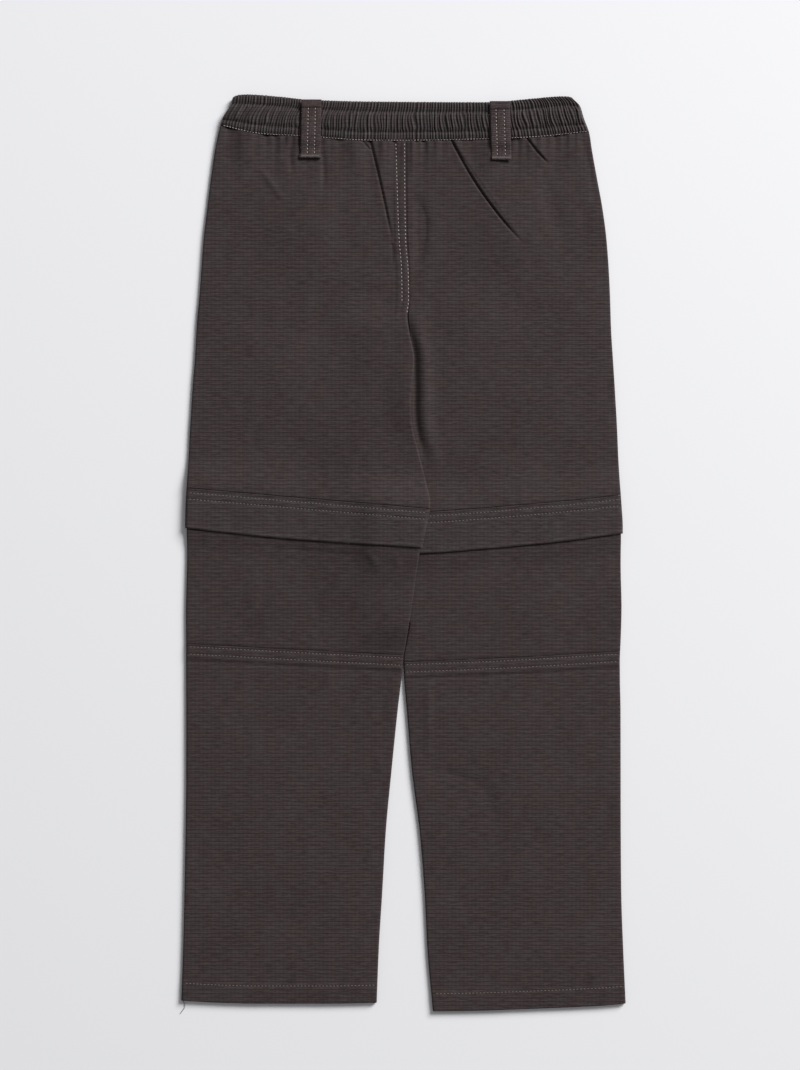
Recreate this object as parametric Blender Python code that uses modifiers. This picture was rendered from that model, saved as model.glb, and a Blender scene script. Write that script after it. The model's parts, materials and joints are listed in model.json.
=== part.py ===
"""Straight-leg trousers for a child, laid flat with the back upwards.

The frame has +X to the right, +Y towards the waist and +Z up from the surface that they lie on.
Tables and functions are in millimetres, and only the finished points are turned into metres.
Left and right are the sides as seen from above. The left leg lies over the right one at the knees.
"""

from bisect import bisect
from collections import namedtuple
import math

import bmesh
import bpy
from mathutils import Vector

MM = 0.001
OBJECT_NAME = "straight_leg_trousers"

# Cloth
CLOTH = 1.2  # wall of one cloth panel
FLAT_WITHIN = 0.3  # degrees; flatter stretches of a panel are left as one plain face
SEAM_GAP = 0.3  # clear space between two neighbouring pieces
FLAT_STACK = 3.3  # front and back panel together where they lie flat
BAND_STACK = 6.4  # the same where the hanging band covers the knee panel

# Waistband
BAND_TURN = 3.0  # run of its turned sides
BAND_WALL = 1.3  # folded cloth round the elastic
BAND_GAP = 1.8  # between its front and its back half
GATHERS = 92  # gathers in the back half
BAND_LIFT = 0.8  # how much the seat rises to meet the waistband
BAND_FADE = 30.0  # length over which it rises
PUCKER_HEIGHT = 0.6  # puckers that run on below the waist seam
PUCKER_LENGTH = 24.0

# Belt loops
LOOP_WIDTH = 17.0
LOOP_WALL = 1.3
LOOP_FOLD = 6.8  # length of the turned end at the top
LOOP_TACK = 3.4  # length of the bar tack at the foot

# Seams and hems
FELL_WIDTH = 7.2  # felled seam down the middle of the seat
FELL_HEIGHT = 0.5
TURN_WIDTH = 9.5  # turned cloth under the knee seam's two rows
TURN_HEIGHT = 0.4
HEM_DEPTH = 14.0
HEM_HEIGHT = 0.5
EASE = 1.4  # run of the slope at the edge of a ridge

# Hanging band and what it covers
COVERED_STACK = 3.0  # both knee layers inside the band
COVER_RISE = 1.6  # the knee panel inside the band stands this far off the outer layers
COVER_FADE = 16.0  # length over which it settles below the band
COVER_STARTS = 2.5  # it starts to settle this far below the band's edge
COVER_INSET = 1.5  # and it is this much narrower on each side
COVER_RUN = 1.5  # run of its turned sides
INSET_FADE = 60.0  # length below the band over which it gets its full width back
BAND_DEPTH = 33.5
COVER_REACH = 6.0  # how far below the band's seam the knee panel starts
BAND_SLOPE = 30.0  # length over which the thigh rises to the band's seam

# Left leg over the right leg
OVERLAP_SLOPE = 26.0  # run of the slope from the surface up to the right leg
OVERLAP_MARGIN = 3.0  # the slope is over this far before the right leg's edge
OVERLAP_CLEAR = 0.8
CROTCH_RISE = 1.4  # four seams meet in a thick lump at the crotch
CROTCH_AT = 201.0
CROTCH_LENGTH = 15.0
CROTCH_WIDTH = 22.0
CROTCH_GAP = 0.5  # and the leg's two layers part a little more there
EDGE_LIFT = 3.2  # the left leg's edge stands this much higher below the crotch
EDGE_LIFT_AT = 130.0
EDGE_LIFT_SPAN = 38.0
EDGE_LIFT_WIDTH = 26.0
LAP_STARTS = (215.0, 187.0)  # heights between which the left leg climbs
LAP_ENDS = (-60.5, -86.0)  # heights between which it comes down again
ROUND_STARTS = (212.0, 190.0)  # heights between which the middle seam becomes two leg edges

Section = namedtuple("Section", "height left_side left_inner right_inner right_side")
SECTIONS = [
    Section(390.6, -144.6, 1.2, 1.2, 142.2),
    Section(386.8, -145.4, 1.2, 1.2, 144.6),
    Section(381.6, -146.3, 1.4, 1.4, 149.2),
    Section(368.9, -153.7, 1.6, 1.6, 153.3),
    Section(356.1, -157.1, 2.0, 2.0, 157.9),
    Section(342.6, -159.9, 2.4, 2.4, 160.0),
    Section(317.1, -163.6, 2.5, 2.5, 164.6),
    Section(291.6, -166.7, 2.7, 2.7, 169.2),
    Section(266.1, -169.7, 3.2, 3.2, 172.5),
    Section(240.5, -171.6, 4.8, 4.8, 174.4),
    Section(215.0, -173.5, 5.0, 5.0, 175.6),
    Section(200.6, -174.9, 3.5, 3.5, 176.0),
    Section(185.3, -175.9, 5.5, 5.5, 176.6),
    Section(164.0, -177.1, 9.3, -0.3, 178.0),
    Section(143.7, -178.8, 7.6, -5.4, 179.3),
    Section(128.3, -179.8, 6.5, -8.8, 180.2),
    Section(114.8, -180.6, 6.9, -11.4, 181.0),
    Section(102.8, -181.4, 8.5, -12.7, 181.6),
    Section(85.8, -182.2, 13.0, -14.4, 182.3),
    Section(62.0, -183.6, 18.8, -16.1, 183.6),
    Section(42.5, -184.9, 22.8, -17.3, 185.0),
    Section(21.2, -185.4, 19.4, -17.3, 186.2),
    Section(4.2, -185.1, 16.0, -16.1, 186.1),
    Section(-18.7, -184.9, 11.8, -12.6, 185.8),
    Section(-40.0, -184.7, 8.2, -6.0, 185.6),
    Section(-60.0, -184.6, 4.9, 4.9, 185.0),
    Section(-74.0, -184.5, 2.6, 2.6, 184.5),
    Section(-92.6, -184.5, -0.3, 0.0, 183.8),
    Section(-108.0, -184.5, -1.8, 0.7, 183.9),
    Section(-133.4, -184.4, -4.8, 2.8, 184.4),
    Section(-184.4, -184.4, -10.0, 7.1, 184.5),
    Section(-235.4, -185.0, -14.8, 13.6, 184.6),
    Section(-286.4, -185.9, -17.8, 17.8, 185.0),
    Section(-337.4, -187.1, -20.9, 20.4, 186.7),
    Section(-390.1, -189.1, -22.9, 25.0, 189.1),
]

SeamPoint = namedtuple("SeamPoint", "across height")
SEAMS = {
    "waist edge": [
        SeamPoint(-150.8, 386.8),
        SeamPoint(-144.0, 388.2),
        SeamPoint(-133.8, 388.9),
        SeamPoint(-103.2, 386.8),
        SeamPoint(-82.8, 384.6),
        SeamPoint(-31.8, 382.9),
        SeamPoint(70.2, 382.3),
        SeamPoint(111.0, 385.5),
        SeamPoint(131.4, 387.2),
        SeamPoint(141.6, 387.4),
        SeamPoint(148.4, 385.9),
    ],
    "waist seam": [
        SeamPoint(-160.1, 363.8),
        SeamPoint(-154.5, 362.3),
        SeamPoint(-119.3, 354.9),
        SeamPoint(-83.6, 353.1),
        SeamPoint(-32.6, 349.5),
        SeamPoint(-2.9, 349.3),
        SeamPoint(68.2, 350.5),
        SeamPoint(109.3, 352.2),
        SeamPoint(158.6, 357.1),
    ],
    "left band seam": [SeamPoint(-185.6, 55.2), SeamPoint(-87.9, 46.8), SeamPoint(22.6, 37.4)],
    "right band seam": [
        SeamPoint(-17.3, 32.7),
        SeamPoint(22.6, 34.9),
        SeamPoint(69.0, 38.2),
        SeamPoint(146.5, 45.0),
        SeamPoint(185.8, 49.3),
    ],
    "left band edge": [
        SeamPoint(-185.6, 21.2),
        SeamPoint(-104.9, 12.5),
        SeamPoint(-34.3, 7.5),
        SeamPoint(20.1, 4.2),
    ],
    "right band edge": [
        SeamPoint(-17.3, -1.3),
        SeamPoint(15.3, -0.5),
        SeamPoint(69.0, 3.4),
        SeamPoint(128.9, 9.0),
        SeamPoint(185.8, 16.5),
    ],
    "left knee seam": [SeamPoint(-184.8, -76.9), SeamPoint(-90.7, -82.0), SeamPoint(0.5, -86.7)],
    "right knee seam": [SeamPoint(-2.9, -92.6), SeamPoint(88.1, -88.9), SeamPoint(184.1, -83.3)],
    "left hem": [
        SeamPoint(-189.0, -379.8),
        SeamPoint(-154.2, -381.6),
        SeamPoint(-123.6, -382.3),
        SeamPoint(-62.4, -382.3),
        SeamPoint(-22.4, -381.6),
    ],
    "right hem": [
        SeamPoint(24.7, -388.9),
        SeamPoint(60.0, -388.4),
        SeamPoint(100.8, -387.0),
        SeamPoint(172.2, -383.8),
        SeamPoint(189.2, -382.1),
    ],
}

Loop = namedtuple("Loop", "name top_across top_height foot_across foot_height")
LOOPS = [
    Loop("belt_loop_left", -77.8, 384.0, -79.0, 334.7),
    Loop("belt_loop_right", 81.5, 382.6, 83.1, 333.2),
]

# Soft fullness of the layers: where it is, how far it spreads and how high it stands
Puff = namedtuple("Puff", "place across height half_width half_length rise")
PUFFS = [
    Puff("left seat", -88.0, 290.0, 62.0, 62.0, 2.4),
    Puff("right seat", 92.0, 286.0, 62.0, 66.0, 2.6),
    Puff("left thigh", -98.0, 132.0, 60.0, 78.0, 1.4),
    Puff("right thigh", 104.0, 132.0, 58.0, 78.0, 1.4),
    Puff("left knee", -98.0, -36.0, 62.0, 40.0, 0.9),
    Puff("right knee", 96.0, -40.0, 62.0, 40.0, 0.9),
    Puff("left shin", -104.0, -228.0, 56.0, 110.0, 1.0),
    Puff("right shin", 104.0, -228.0, 56.0, 110.0, 1.0),
]

# Creases run from a start over a middle to an end; a negative rise is a trough
Crease = namedtuple("Crease", "place x0 y0 x1 y1 x2 y2 half_width rise")
CREASES = [
    Crease("left of the seat seam", -27.9, 347.6, -19.9, 308.6, -8.8, 261.8, 5.0, 1.6),
    Crease("right seat, long", 40.9, 349.0, 68.2, 303.4, 103.4, 261.4, 7.5, 2.4),
    Crease("right seat, short", 105.1, 350.5, 113.8, 340.2, 124.1, 330.1, 5.0, 1.4),
    Crease("right seat, hollow", 118.2, 322.5, 125.5, 295.8, 131.4, 269.4, 8.0, -1.3),
    Crease("right hip", 152.7, 347.6, 159.5, 325.6, 161.4, 300.1, 5.0, -0.8),
    Crease("right of the seat seam", 12.2, 294.5, 18.1, 277.1, 12.7, 249.0, 9.0, -1.2),
    Crease("left hip, slanting", -120.6, 325.6, -111.7, 312.8, -101.5, 299.2, 5.0, 1.0),
    Crease("above the crotch", -42.8, 219.3, -28.4, 221.8, -13.1, 222.4, 5.0, -0.7),
    Crease("under the left loop", -95.5, 345.9, -95.5, 335.8, -95.5, 325.6, 5.0, -0.8),
    Crease("beside the left loop", -68.3, 330.0, -67.5, 322.3, -68.3, 312.1, 5.0, -0.7),
    Crease("under the left band", -133.2, 6.0, -69.4, 0.0, -34.3, -3.4, 4.0, -0.6),
    Crease("left knee", -31.2, 1.4, -25.8, -6.0, -21.6, -16.1, 5.0, 0.7),
    Crease("right shin", 18.2, -184.6, 43.9, -188.7, 68.3, -198.9, 6.0, -0.7),
    Crease("right shin, inner edge", 21.4, -108.0, 21.4, -140.2, 21.8, -171.7, 4.0, 0.7),
]
CREASE_STEPS = 8

# The waistband's profile from its edge down to its seam: two stitched rows pinch the gathers
BandRow = namedtuple("BandRow", "down rise gather")
BAND_ROWS = [
    BandRow(0.0, 0.0, 0.2),
    BandRow(0.09, 0.45, 0.7),
    BandRow(0.25, 0.05, 0.15),
    BandRow(0.37, 0.65, 0.75),
    BandRow(0.52, 0.75, 0.85),
    BandRow(0.66, 0.6, 0.75),
    BandRow(0.78, 0.05, 0.15),
    BandRow(0.89, 0.4, 0.55),
    BandRow(1.0, 0.0, 0.2),
]

# Extra columns follow a leg's inner edge at these distances, where the legs overlap
INNER_COLUMNS = {
    "left": [64.0, 57.0, 51.0, 45.0, 39.0, 33.0, 28.0, 23.0, 18.0, 13.0, 8.6, FELL_WIDTH],
    "right": [42.0, 34.0, 27.0, 20.0, 13.0, 7.0],
}

# Cells across a back panel and down it, and the distances of the extra rows at its two ends
PanelCells = namedtuple("PanelCells", "across down from_top from_foot")
PANEL_CELLS = {
    "thigh": PanelCells(15, 17, (SEAM_GAP / 2, 7.0, 15.0, 25.0), (5.0, SEAM_GAP / 2)),
    "band": PanelCells(14, 3, (SEAM_GAP / 2,), (0.0,)),
    "knee": PanelCells(10, 4, (0.0, 14.0, 30.0, 36.0, 44.0), (9.0, SEAM_GAP / 2)),
    "shin": PanelCells(
        12, 14, (SEAM_GAP / 2, TURN_WIDTH, TURN_WIDTH + EASE), (HEM_DEPTH + EASE, HEM_DEPTH, 0.0)
    ),
}
FRONT_CELLS = 9

# How a panel's edge turns down to the side seam: run and rise as shares
EDGE_TURN = [(0.0, 0.0), (0.02, 0.4), (0.42, 0.86), (1.0, 1.0)]

Cloth = namedtuple("Cloth", "name red green blue roughness")
RIPSTOP = Cloth("charcoal ripstop cotton", 0.051, 0.041, 0.041, 0.86)
BAND_CLOTH = Cloth("ripstop cotton, doubled band", 0.054, 0.042, 0.042, 0.84)
ELASTIC_CLOTH = Cloth("ripstop cotton over elastic", 0.048, 0.038, 0.038, 0.88)
LOOP_CLOTH = Cloth("ripstop cotton strip", 0.067, 0.053, 0.053, 0.82)


def ease(share):
    """Goes smoothly from 0 to 1 while share does."""
    share = min(max(share, 0.0), 1.0)
    return share * share * (3.0 - 2.0 * share)


def between(first, last, share):
    return first + (last - first) * share


def smooth_line(points):
    """A smooth line through a table's points that never swings past them."""
    places, values = zip(*sorted(points))
    slopes = [
        (values[k + 1] - values[k]) / (places[k + 1] - places[k])
        for k in range(len(places) - 1)
    ]
    bends = [
        2.0 * before * after / (before + after) if before * after > 0 else 0.0
        for before, after in zip(slopes, slopes[1:])
    ]
    tangents = [slopes[0], *bends, slopes[-1]]

    def value(place):
        place = min(max(place, places[0]), places[-1])
        k = min(bisect(places, place), len(places) - 1) - 1
        step = places[k + 1] - places[k]
        t = (place - places[k]) / step
        start = (1.0 + 2.0 * t) * (1.0 - t) ** 2 * values[k]
        end = t * t * (3.0 - 2.0 * t) * values[k + 1]
        lean = t * (1.0 - t) ** 2 * tangents[k] - t * t * (1.0 - t) * tangents[k + 1]
        return start + end + step * lean

    return value


EDGES = {
    column: smooth_line((row.height, getattr(row, column)) for row in SECTIONS)
    for column in Section._fields[1:]
}
SEAM_LINES = {name: smooth_line(points) for name, points in SEAMS.items()}
INWARDS = {"left": 1.0, "right": -1.0}


def side_edge(leg, height):
    return EDGES[leg + "_side"](height)


def inner_edge(leg, height):
    return EDGES[leg + "_inner"](height) - INWARDS[leg] * SEAM_GAP / 2


def right_leg_top(height):
    """Upper limit of the right leg's layers, where the left leg may lie on them."""
    rise = ease((70.0 - height) / BAND_SLOPE) * (1.0 - ease((-3.0 - height) / BAND_SLOPE))
    return FLAT_STACK + (BAND_STACK - FLAT_STACK) * rise


def ground(leg, across, height):
    """What a leg lies on: the surface, or the right leg under the left one's inner edge."""
    if leg == "right":
        return 0.0
    climb = ease((LAP_STARTS[0] - height) / (LAP_STARTS[0] - LAP_STARTS[1]))
    settle = ease((LAP_ENDS[0] - height) / (LAP_ENDS[0] - LAP_ENDS[1]))
    foot = EDGES["right_inner"](height) - OVERLAP_MARGIN - OVERLAP_SLOPE
    lap = ease((across - foot) / OVERLAP_SLOPE) * (right_leg_top(height) + OVERLAP_CLEAR)
    edge = EDGES["left_inner"](height)
    stand = EDGE_LIFT * math.exp(-(((height - EDGE_LIFT_AT) / EDGE_LIFT_SPAN) ** 2))
    stand *= ease((across - edge + EDGE_LIFT_WIDTH) / EDGE_LIFT_WIDTH)
    return climb * (1.0 - settle) * (lap + stand)


def along_crease(crease):
    """Points along a crease, bent through its middle."""
    for k in range(CREASE_STEPS + 1):
        t = k / CREASE_STEPS
        first, middle, last = (1 - t) * (1 - 2 * t), 4 * t * (1 - t), t * (2 * t - 1)
        yield (
            first * crease.x0 + middle * crease.x1 + last * crease.x2,
            first * crease.y0 + middle * crease.y1 + last * crease.y2,
            math.sin(math.pi * between(0.12, 0.88, t)),
        )


CREASE_LINES = [(crease, list(along_crease(crease))) for crease in CREASES]


def relief(leg, across, height):
    """Soft fullness and creases of the upper layer, none at the leg's edges."""
    total = 0.0
    for puff in PUFFS:
        far = math.hypot(
            (across - puff.across) / puff.half_width, (height - puff.height) / puff.half_length
        )
        total += puff.rise * (1.0 - ease(far))
    for crease, line in CREASE_LINES:
        deepest = max(
            strength * math.exp(-((across - x) ** 2 + (height - y) ** 2) / crease.half_width**2)
            for x, y, strength in line
        )
        total += crease.rise * deepest
    from_side = abs(across - side_edge(leg, height))
    total *= ease((from_side - 2.0) / 10.0)
    total *= ease((abs(across - inner_edge(leg, height)) - 1.0) / 8.0)
    if height < LAP_STARTS[0]:
        hidden_to = max(EDGES["left_inner"](height), EDGES["right_inner"](height))
        covered = hidden_to if leg == "right" else EDGES["left_inner"](height)
        total *= ease((abs(across - covered) - 2.0) / 10.0)
        if leg == "right" and across < covered:
            total = 0.0
    return total


def crotch_lump(height):
    return math.exp(-(((height - CROTCH_AT) / CROTCH_LENGTH) ** 2))


def stacks(part, leg, across, height):
    """The lowest and the highest surface of a leg's layers in one part of the garment."""
    low = ground(leg, across, height)
    if part == "thigh":
        waist = SEAM_LINES["waist seam"](across)
        band = SEAM_LINES[leg + " band seam"](across)
        rise = BAND_LIFT * (1.0 - ease((waist - height) / BAND_FADE))
        rise += (BAND_STACK - FLAT_STACK) * ease((band + BAND_SLOPE - height) / BAND_SLOPE)
        from_seam = abs(across - EDGES[leg + "_inner"](height))
        rise += CROTCH_RISE * crotch_lump(height) * (1.0 - ease(from_seam / CROTCH_WIDTH))
        return low, low + FLAT_STACK + rise
    if part == "band":
        return low, low + BAND_STACK
    if part == "knee":
        edge = SEAM_LINES[leg + " band edge"](across)
        cover = 1.0 - ease((edge - height - COVER_STARTS) / COVER_FADE)
        low += COVER_RISE * cover
        return low, low + between(FLAT_STACK, COVERED_STACK, cover)
    return low, low + FLAT_STACK


Column = namedtuple("Column", "share offset flat_offset turned")


def columns(outer_cells, from_inner, run):
    """Each column as its share of the way in, its offset in mm, and how far it has turned up."""
    turn = [
        (share * run, run * k / (len(EDGE_TURN) - 1), rise)
        for k, (share, rise) in enumerate(EDGE_TURN)
    ]
    found = [Column(0.0, offset, flat, rise) for offset, flat, rise in turn]
    last = from_inner[0] if from_inner else run
    for k in range(1, outer_cells + 1):
        share = k / outer_cells
        offset = between(run, -last, share)
        found.append(Column(share, offset, offset, 1.0))
    found += [Column(1.0, -offset, -offset, 1.0) for offset in from_inner[1:]]
    if from_inner:
        found.append(Column(1.0, -run, -run, 1.0))
    return found + [Column(1.0, -offset, -flat, rise) for offset, flat, rise in turn[-2::-1]]


def rows(cells, from_top, from_foot):
    """Each row as its share of the way down and its offset in mm from there."""
    found = [(0.0, offset) for offset in from_top[:-1]]
    for k in range(cells + 1):
        share = k / cells
        found.append((share, between(from_top[-1], -from_foot[0], share)))
    return found + [(1.0, -offset) for offset in from_foot[1:]]


def ridge(distance, width):
    return 1.0 - ease((distance - width) / EASE)


def new_cloth(cloth):
    material = bpy.data.materials.get(cloth.name) or bpy.data.materials.new(cloth.name)
    material.use_nodes = True
    shader = material.node_tree.nodes["Principled BSDF"]
    shader.inputs["Base Color"].default_value = (cloth.red, cloth.green, cloth.blue, 1.0)
    shader.inputs["Roughness"].default_value = cloth.roughness
    shader.inputs["Metallic"].default_value = 0.0
    material.diffuse_color = (cloth.red, cloth.green, cloth.blue, 1.0)
    return material


def cloth_grid(name, column_list, row_list, place, faces_up):
    """A grid whose points are placed one by one, as an open surface in metres."""
    mesh = bpy.data.meshes.new(name)
    surface = bmesh.new()
    across, down = len(column_list) - 1, len(row_list) - 1
    bmesh.ops.create_grid(surface, x_segments=across, y_segments=down, size=1.0)
    for vertex in surface.verts:
        column = column_list[round((vertex.co.x + 1.0) / 2.0 * across)]
        row = row_list[round((1.0 - vertex.co.y) / 2.0 * down)]
        vertex.co = Vector(place(column, row)) * MM
    surface.normal_update()
    if (sum(face.normal.z for face in surface.faces) > 0) != faces_up:
        bmesh.ops.reverse_faces(surface, faces=surface.faces)
    surface.to_mesh(mesh)
    surface.free()
    return mesh


def add_piece(collection, name, mesh, wall, cloth):
    """An object whose surface gets its thickness on the inside, and plain quads where it is flat."""
    piece = bpy.data.objects.new(name, mesh)
    collection.objects.link(piece)
    mesh.materials.append(new_cloth(cloth))
    plain = piece.modifiers.new("flat stretches", "DECIMATE")
    plain.decimate_type = "DISSOLVE"
    plain.angle_limit = math.radians(FLAT_WITHIN)
    thickness = piece.modifiers.new("cloth wall", "SOLIDIFY")
    thickness.thickness = wall * MM
    thickness.offset = -1.0
    mesh.shade_smooth()
    return piece


def inset_of(part, leg, height):
    """How much narrower than the leg's outline a part is on each side."""
    if part != "knee":
        return 0.0
    below_band = SEAM_LINES[leg + " band edge"](0.0) - height
    return COVER_INSET * (1.0 - ease(below_band / INSET_FADE))


def panel(collection, name, part, leg, facing, column_list, row_list, lines, cloth, extra):
    """One cloth panel of one leg, between two seam lines, as the layer that faces up or down."""
    top_line, foot_line = lines
    inwards = INWARDS[leg]
    faces_up = facing == "back"

    def place(column, row):
        down, drop = row
        height = between(top_line(0.0), foot_line(0.0), down) - drop
        for _ in range(5):
            inset = inset_of(part, leg, height)
            start = side_edge(leg, height) + inwards * inset
            end = inner_edge(leg, height) - inwards * inset
            round_now = ease_round(height) if column.share == 1.0 else 1.0
            shift = between(column.flat_offset, column.offset, round_now)
            across = between(start, end, column.share) + inwards * shift
            height = between(top_line(across), foot_line(across), down) - drop
        low, high = stacks(part, leg, across, height)
        middle = (low + high) / 2.0
        turned = between(1.0, column.turned, round_now)
        half_gap = SEAM_GAP / 2.0
        if part == "thigh" and column.share == 1.0:
            half_gap += CROTCH_GAP * crotch_lump(height)
        if not faces_up:
            return across, height, between(middle - half_gap, low, turned)
        lifted = relief(leg, across, height)
        if part == "band":
            lifted = max(lifted, 0.0)
        if part == "knee":
            edge = SEAM_LINES[leg + " band edge"](across)
            lifted *= ease((edge - height - 2.0) / 8.0)
        lifted += extra(column, row, across, height)
        most = high - low - 2.0 * CLOTH - 0.5
        outer = high + max(lifted, -most) * turned
        return across, height, between(middle + half_gap, outer, turned)

    mesh = cloth_grid(name, column_list, row_list, place, faces_up)
    return add_piece(collection, name, mesh, CLOTH, cloth)


def ease_round(height):
    return ease((ROUND_STARTS[0] - height) / (ROUND_STARTS[0] - ROUND_STARTS[1]))


def line_of(name):
    return SEAM_LINES[name]


def moved(line, drop):
    return lambda across: line(across) - drop


def nothing(column, row, across, height):
    return 0.0


def fell_and_puckers(leg, column_list):
    """The felled middle seam on the left panel, and puckers under the waist seam."""
    order = {column: k for k, column in enumerate(column_list)}

    def extra(column, row, across, height):
        below = SEAM_LINES["waist seam"](across) - height
        fade = max(0.0, 1.0 - below / PUCKER_LENGTH) * (order[column] % 2)
        inside = min(
            abs(across - side_edge(leg, height)), abs(across - inner_edge(leg, height))
        )
        fade *= ease((inside - FELL_WIDTH - EASE) / 2.0)
        total = PUCKER_HEIGHT * fade * (0.7 + 0.3 * math.sin(2.4 * order[column]))
        if leg == "left":
            seam = 1.0 - ease_round(height)
            total += FELL_HEIGHT * seam * ridge(inner_edge(leg, height) - across, FELL_WIDTH)
        return total

    return extra


def turn_and_hem(leg):
    """The turned cloth under the knee seam and the hem at the foot of a shin panel."""
    knee, hem = SEAM_LINES[leg + " knee seam"], SEAM_LINES[leg + " hem"]

    def extra(column, row, across, height):
        turn = TURN_HEIGHT * ridge(knee(across) - height, TURN_WIDTH)
        return turn + HEM_HEIGHT * ridge(height - hem(across), HEM_DEPTH)

    return extra


def add_leg(collection, leg):
    """The thigh, the hanging band, the knee and the shin, each with its back and its front."""
    seam, edge = line_of(leg + " band seam"), line_of(leg + " band edge")
    knee, hem = line_of(leg + " knee seam"), line_of(leg + " hem")
    parts = [
        ("thigh", "thigh", (line_of("waist seam"), seam), RIPSTOP, FLAT_STACK / 2.0),
        ("band", "flap", (seam, edge), BAND_CLOTH, BAND_STACK / 2.0),
        ("knee", "knee", (moved(seam, COVER_REACH), knee), RIPSTOP, COVER_RUN),
        ("shin", "shin", (knee, hem), RIPSTOP, FLAT_STACK / 2.0),
    ]
    close = INNER_COLUMNS[leg]
    wide = close if leg == "left" else close[::2]
    for part, word, lines, cloth, run in parts:
        cells = PANEL_CELLS[part]
        row_list = rows(cells.down, cells.from_top, cells.from_foot)
        inner = {"thigh": close, "shin": []}.get(part, wide)
        back = columns(cells.across, inner, run)
        front = columns(FRONT_CELLS, [] if part == "shin" else wide, run)
        sewn = {"thigh": fell_and_puckers(leg, back), "shin": turn_and_hem(leg)}
        for facing, column_list, extra in (
            ("back", back, sewn.get(part, nothing)),
            ("front", front, nothing),
        ):
            name = f"{word}_{facing}_{leg}"
            panel(collection, name, part, leg, facing, column_list, row_list, lines, cloth, extra)


def band_place(faces_up):
    """Where the points of one half of the waistband lie before it is gathered."""
    edge, seam = line_of("waist edge"), line_of("waist seam")
    wall_top = 2.0 * BAND_WALL + BAND_GAP
    middle = wall_top / 2.0

    def place(column, row):
        down, drop = row
        height = between(edge(0.0), seam(0.0), down) - drop
        for _ in range(5):
            start, end = EDGES["left_side"](height), EDGES["right_side"](height)
            across = between(start, end, column.share) + column.offset
            height = between(edge(across), seam(across) + SEAM_GAP / 2.0, down) - drop
        if faces_up:
            return across, height, between(middle + SEAM_GAP / 2.0, wall_top, column.turned)
        return across, height, between(middle - SEAM_GAP / 2.0, 0.0, column.turned)

    return place


def add_waistband(collection):
    """The elastic waistband: a gathered back half over a plain front half."""
    run = BAND_TURN
    band_rows = [(row.down, 0.0) for row in BAND_ROWS]
    plain_rows = [(0.0, 0.0), (1.0, 0.0)]
    across = columns(2 * GATHERS, [], run)
    mesh = cloth_grid("waistband_back", across, band_rows, band_place(True), True)
    back = add_piece(collection, "waistband_back", mesh, BAND_WALL, ELASTIC_CLOTH)
    gather(back, across)
    plain = columns(32, [], run)
    mesh = cloth_grid("waistband_front", plain, plain_rows, band_place(False), False)
    add_piece(collection, "waistband_front", mesh, BAND_WALL, ELASTIC_CLOTH)


def gather(piece, column_list):
    """Raises the outer points of a finished wall into gathers and leaves its inside plain."""
    wall = piece.modifiers["cloth wall"]
    piece.modifiers.remove(piece.modifiers["flat stretches"])
    outer_count = len(piece.data.vertices)
    per_row = len(column_list)
    bpy.context.view_layer.update()
    walled = bpy.data.meshes.new_from_object(
        piece.evaluated_get(bpy.context.evaluated_depsgraph_get())
    )
    piece.modifiers.remove(wall)
    old = piece.data
    piece.data = walled
    bpy.data.meshes.remove(old)
    walled.name = piece.name
    shape = bmesh.new()
    shape.from_mesh(walled)
    shape.verts.ensure_lookup_table()
    turns = len(EDGE_TURN) - 1
    for index in range(outer_count):
        order, row = index % per_row, BAND_ROWS[-1 - index // per_row]
        if turns <= order < per_row - turns:
            swell = 0.8 + 0.2 * math.sin(1.7 * order) * math.sin(0.37 * order)
            rise = row.rise + row.gather * swell * (order % 2)
            shape.verts[index].co.z += rise * MM
    lengthwise = [
        joint
        for joint in shape.edges
        if all(v.index >= outer_count for v in joint.verts)
        and abs(joint.verts[0].index - joint.verts[1].index) == 1
        and 0 < (joint.verts[0].index - outer_count) // per_row < len(BAND_ROWS) - 1
    ]
    bmesh.ops.dissolve_edges(shape, edges=lengthwise, use_verts=True)
    shape.to_mesh(walled)
    shape.free()
    walled.shade_smooth()


def add_loop(collection, loop):
    """A belt loop: a strip from the waistband's edge, over the seam and onto the seat."""
    leg = "left" if loop.top_across < 0 else "right"
    length = loop.top_height - loop.foot_height
    band_top = 2.0 * BAND_WALL + BAND_GAP + max(row.rise + row.gather for row in BAND_ROWS)
    downs = [0.0, 1.2, LOOP_FOLD - 1.0, LOOP_FOLD, 16.0, 26.0, 35.0, 39.0, 43.0]
    downs += [length - LOOP_TACK - 0.8, length - LOOP_TACK, length - 0.6, length]
    sides = [(-0.5, 0.25), (-0.44, 0.0), (0.0, 0.0), (0.44, 0.0), (0.5, 0.25)]
    band_foot = SEAM_LINES["waist seam"](loop.foot_across)

    def seat_top(height):
        waist = SEAM_LINES["waist seam"](loop.foot_across)
        highest = 0.0
        for share in (-0.5, -0.25, 0.0, 0.25, 0.5):
            across = loop.foot_across + share * LOOP_WIDTH
            _, high = stacks("thigh", leg, across, height)
            pucker = PUCKER_HEIGHT * max(0.0, 1.0 - (waist - height) / PUCKER_LENGTH)
            highest = max(highest, high + relief(leg, across, height) + pucker)
        return highest

    def place(column, row):
        share, sink = column
        height = loop.top_height - row
        across = between(loop.top_across, loop.foot_across, row / length) + share * LOOP_WIDTH
        settled = ease((band_foot - 1.5 - height) / 9.0)
        under = between(band_top, seat_top(min(height, band_foot)), settled) + SEAM_GAP
        fold = 0.9 * (1.0 - ease(row - LOOP_FOLD + 1.0))
        tack = 0.5 * ease((row - length + LOOP_TACK + 0.8) / 0.8) * ease(length - row + 0.3)
        return across, height, under + LOOP_WALL + fold + tack - sink

    mesh = cloth_grid(loop.name, sides, downs, place, True)
    add_piece(collection, loop.name, mesh, LOOP_WALL, LOOP_CLOTH)


def clear_scene():
    for old in list(bpy.data.objects):
        bpy.data.objects.remove(old, do_unlink=True)


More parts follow.
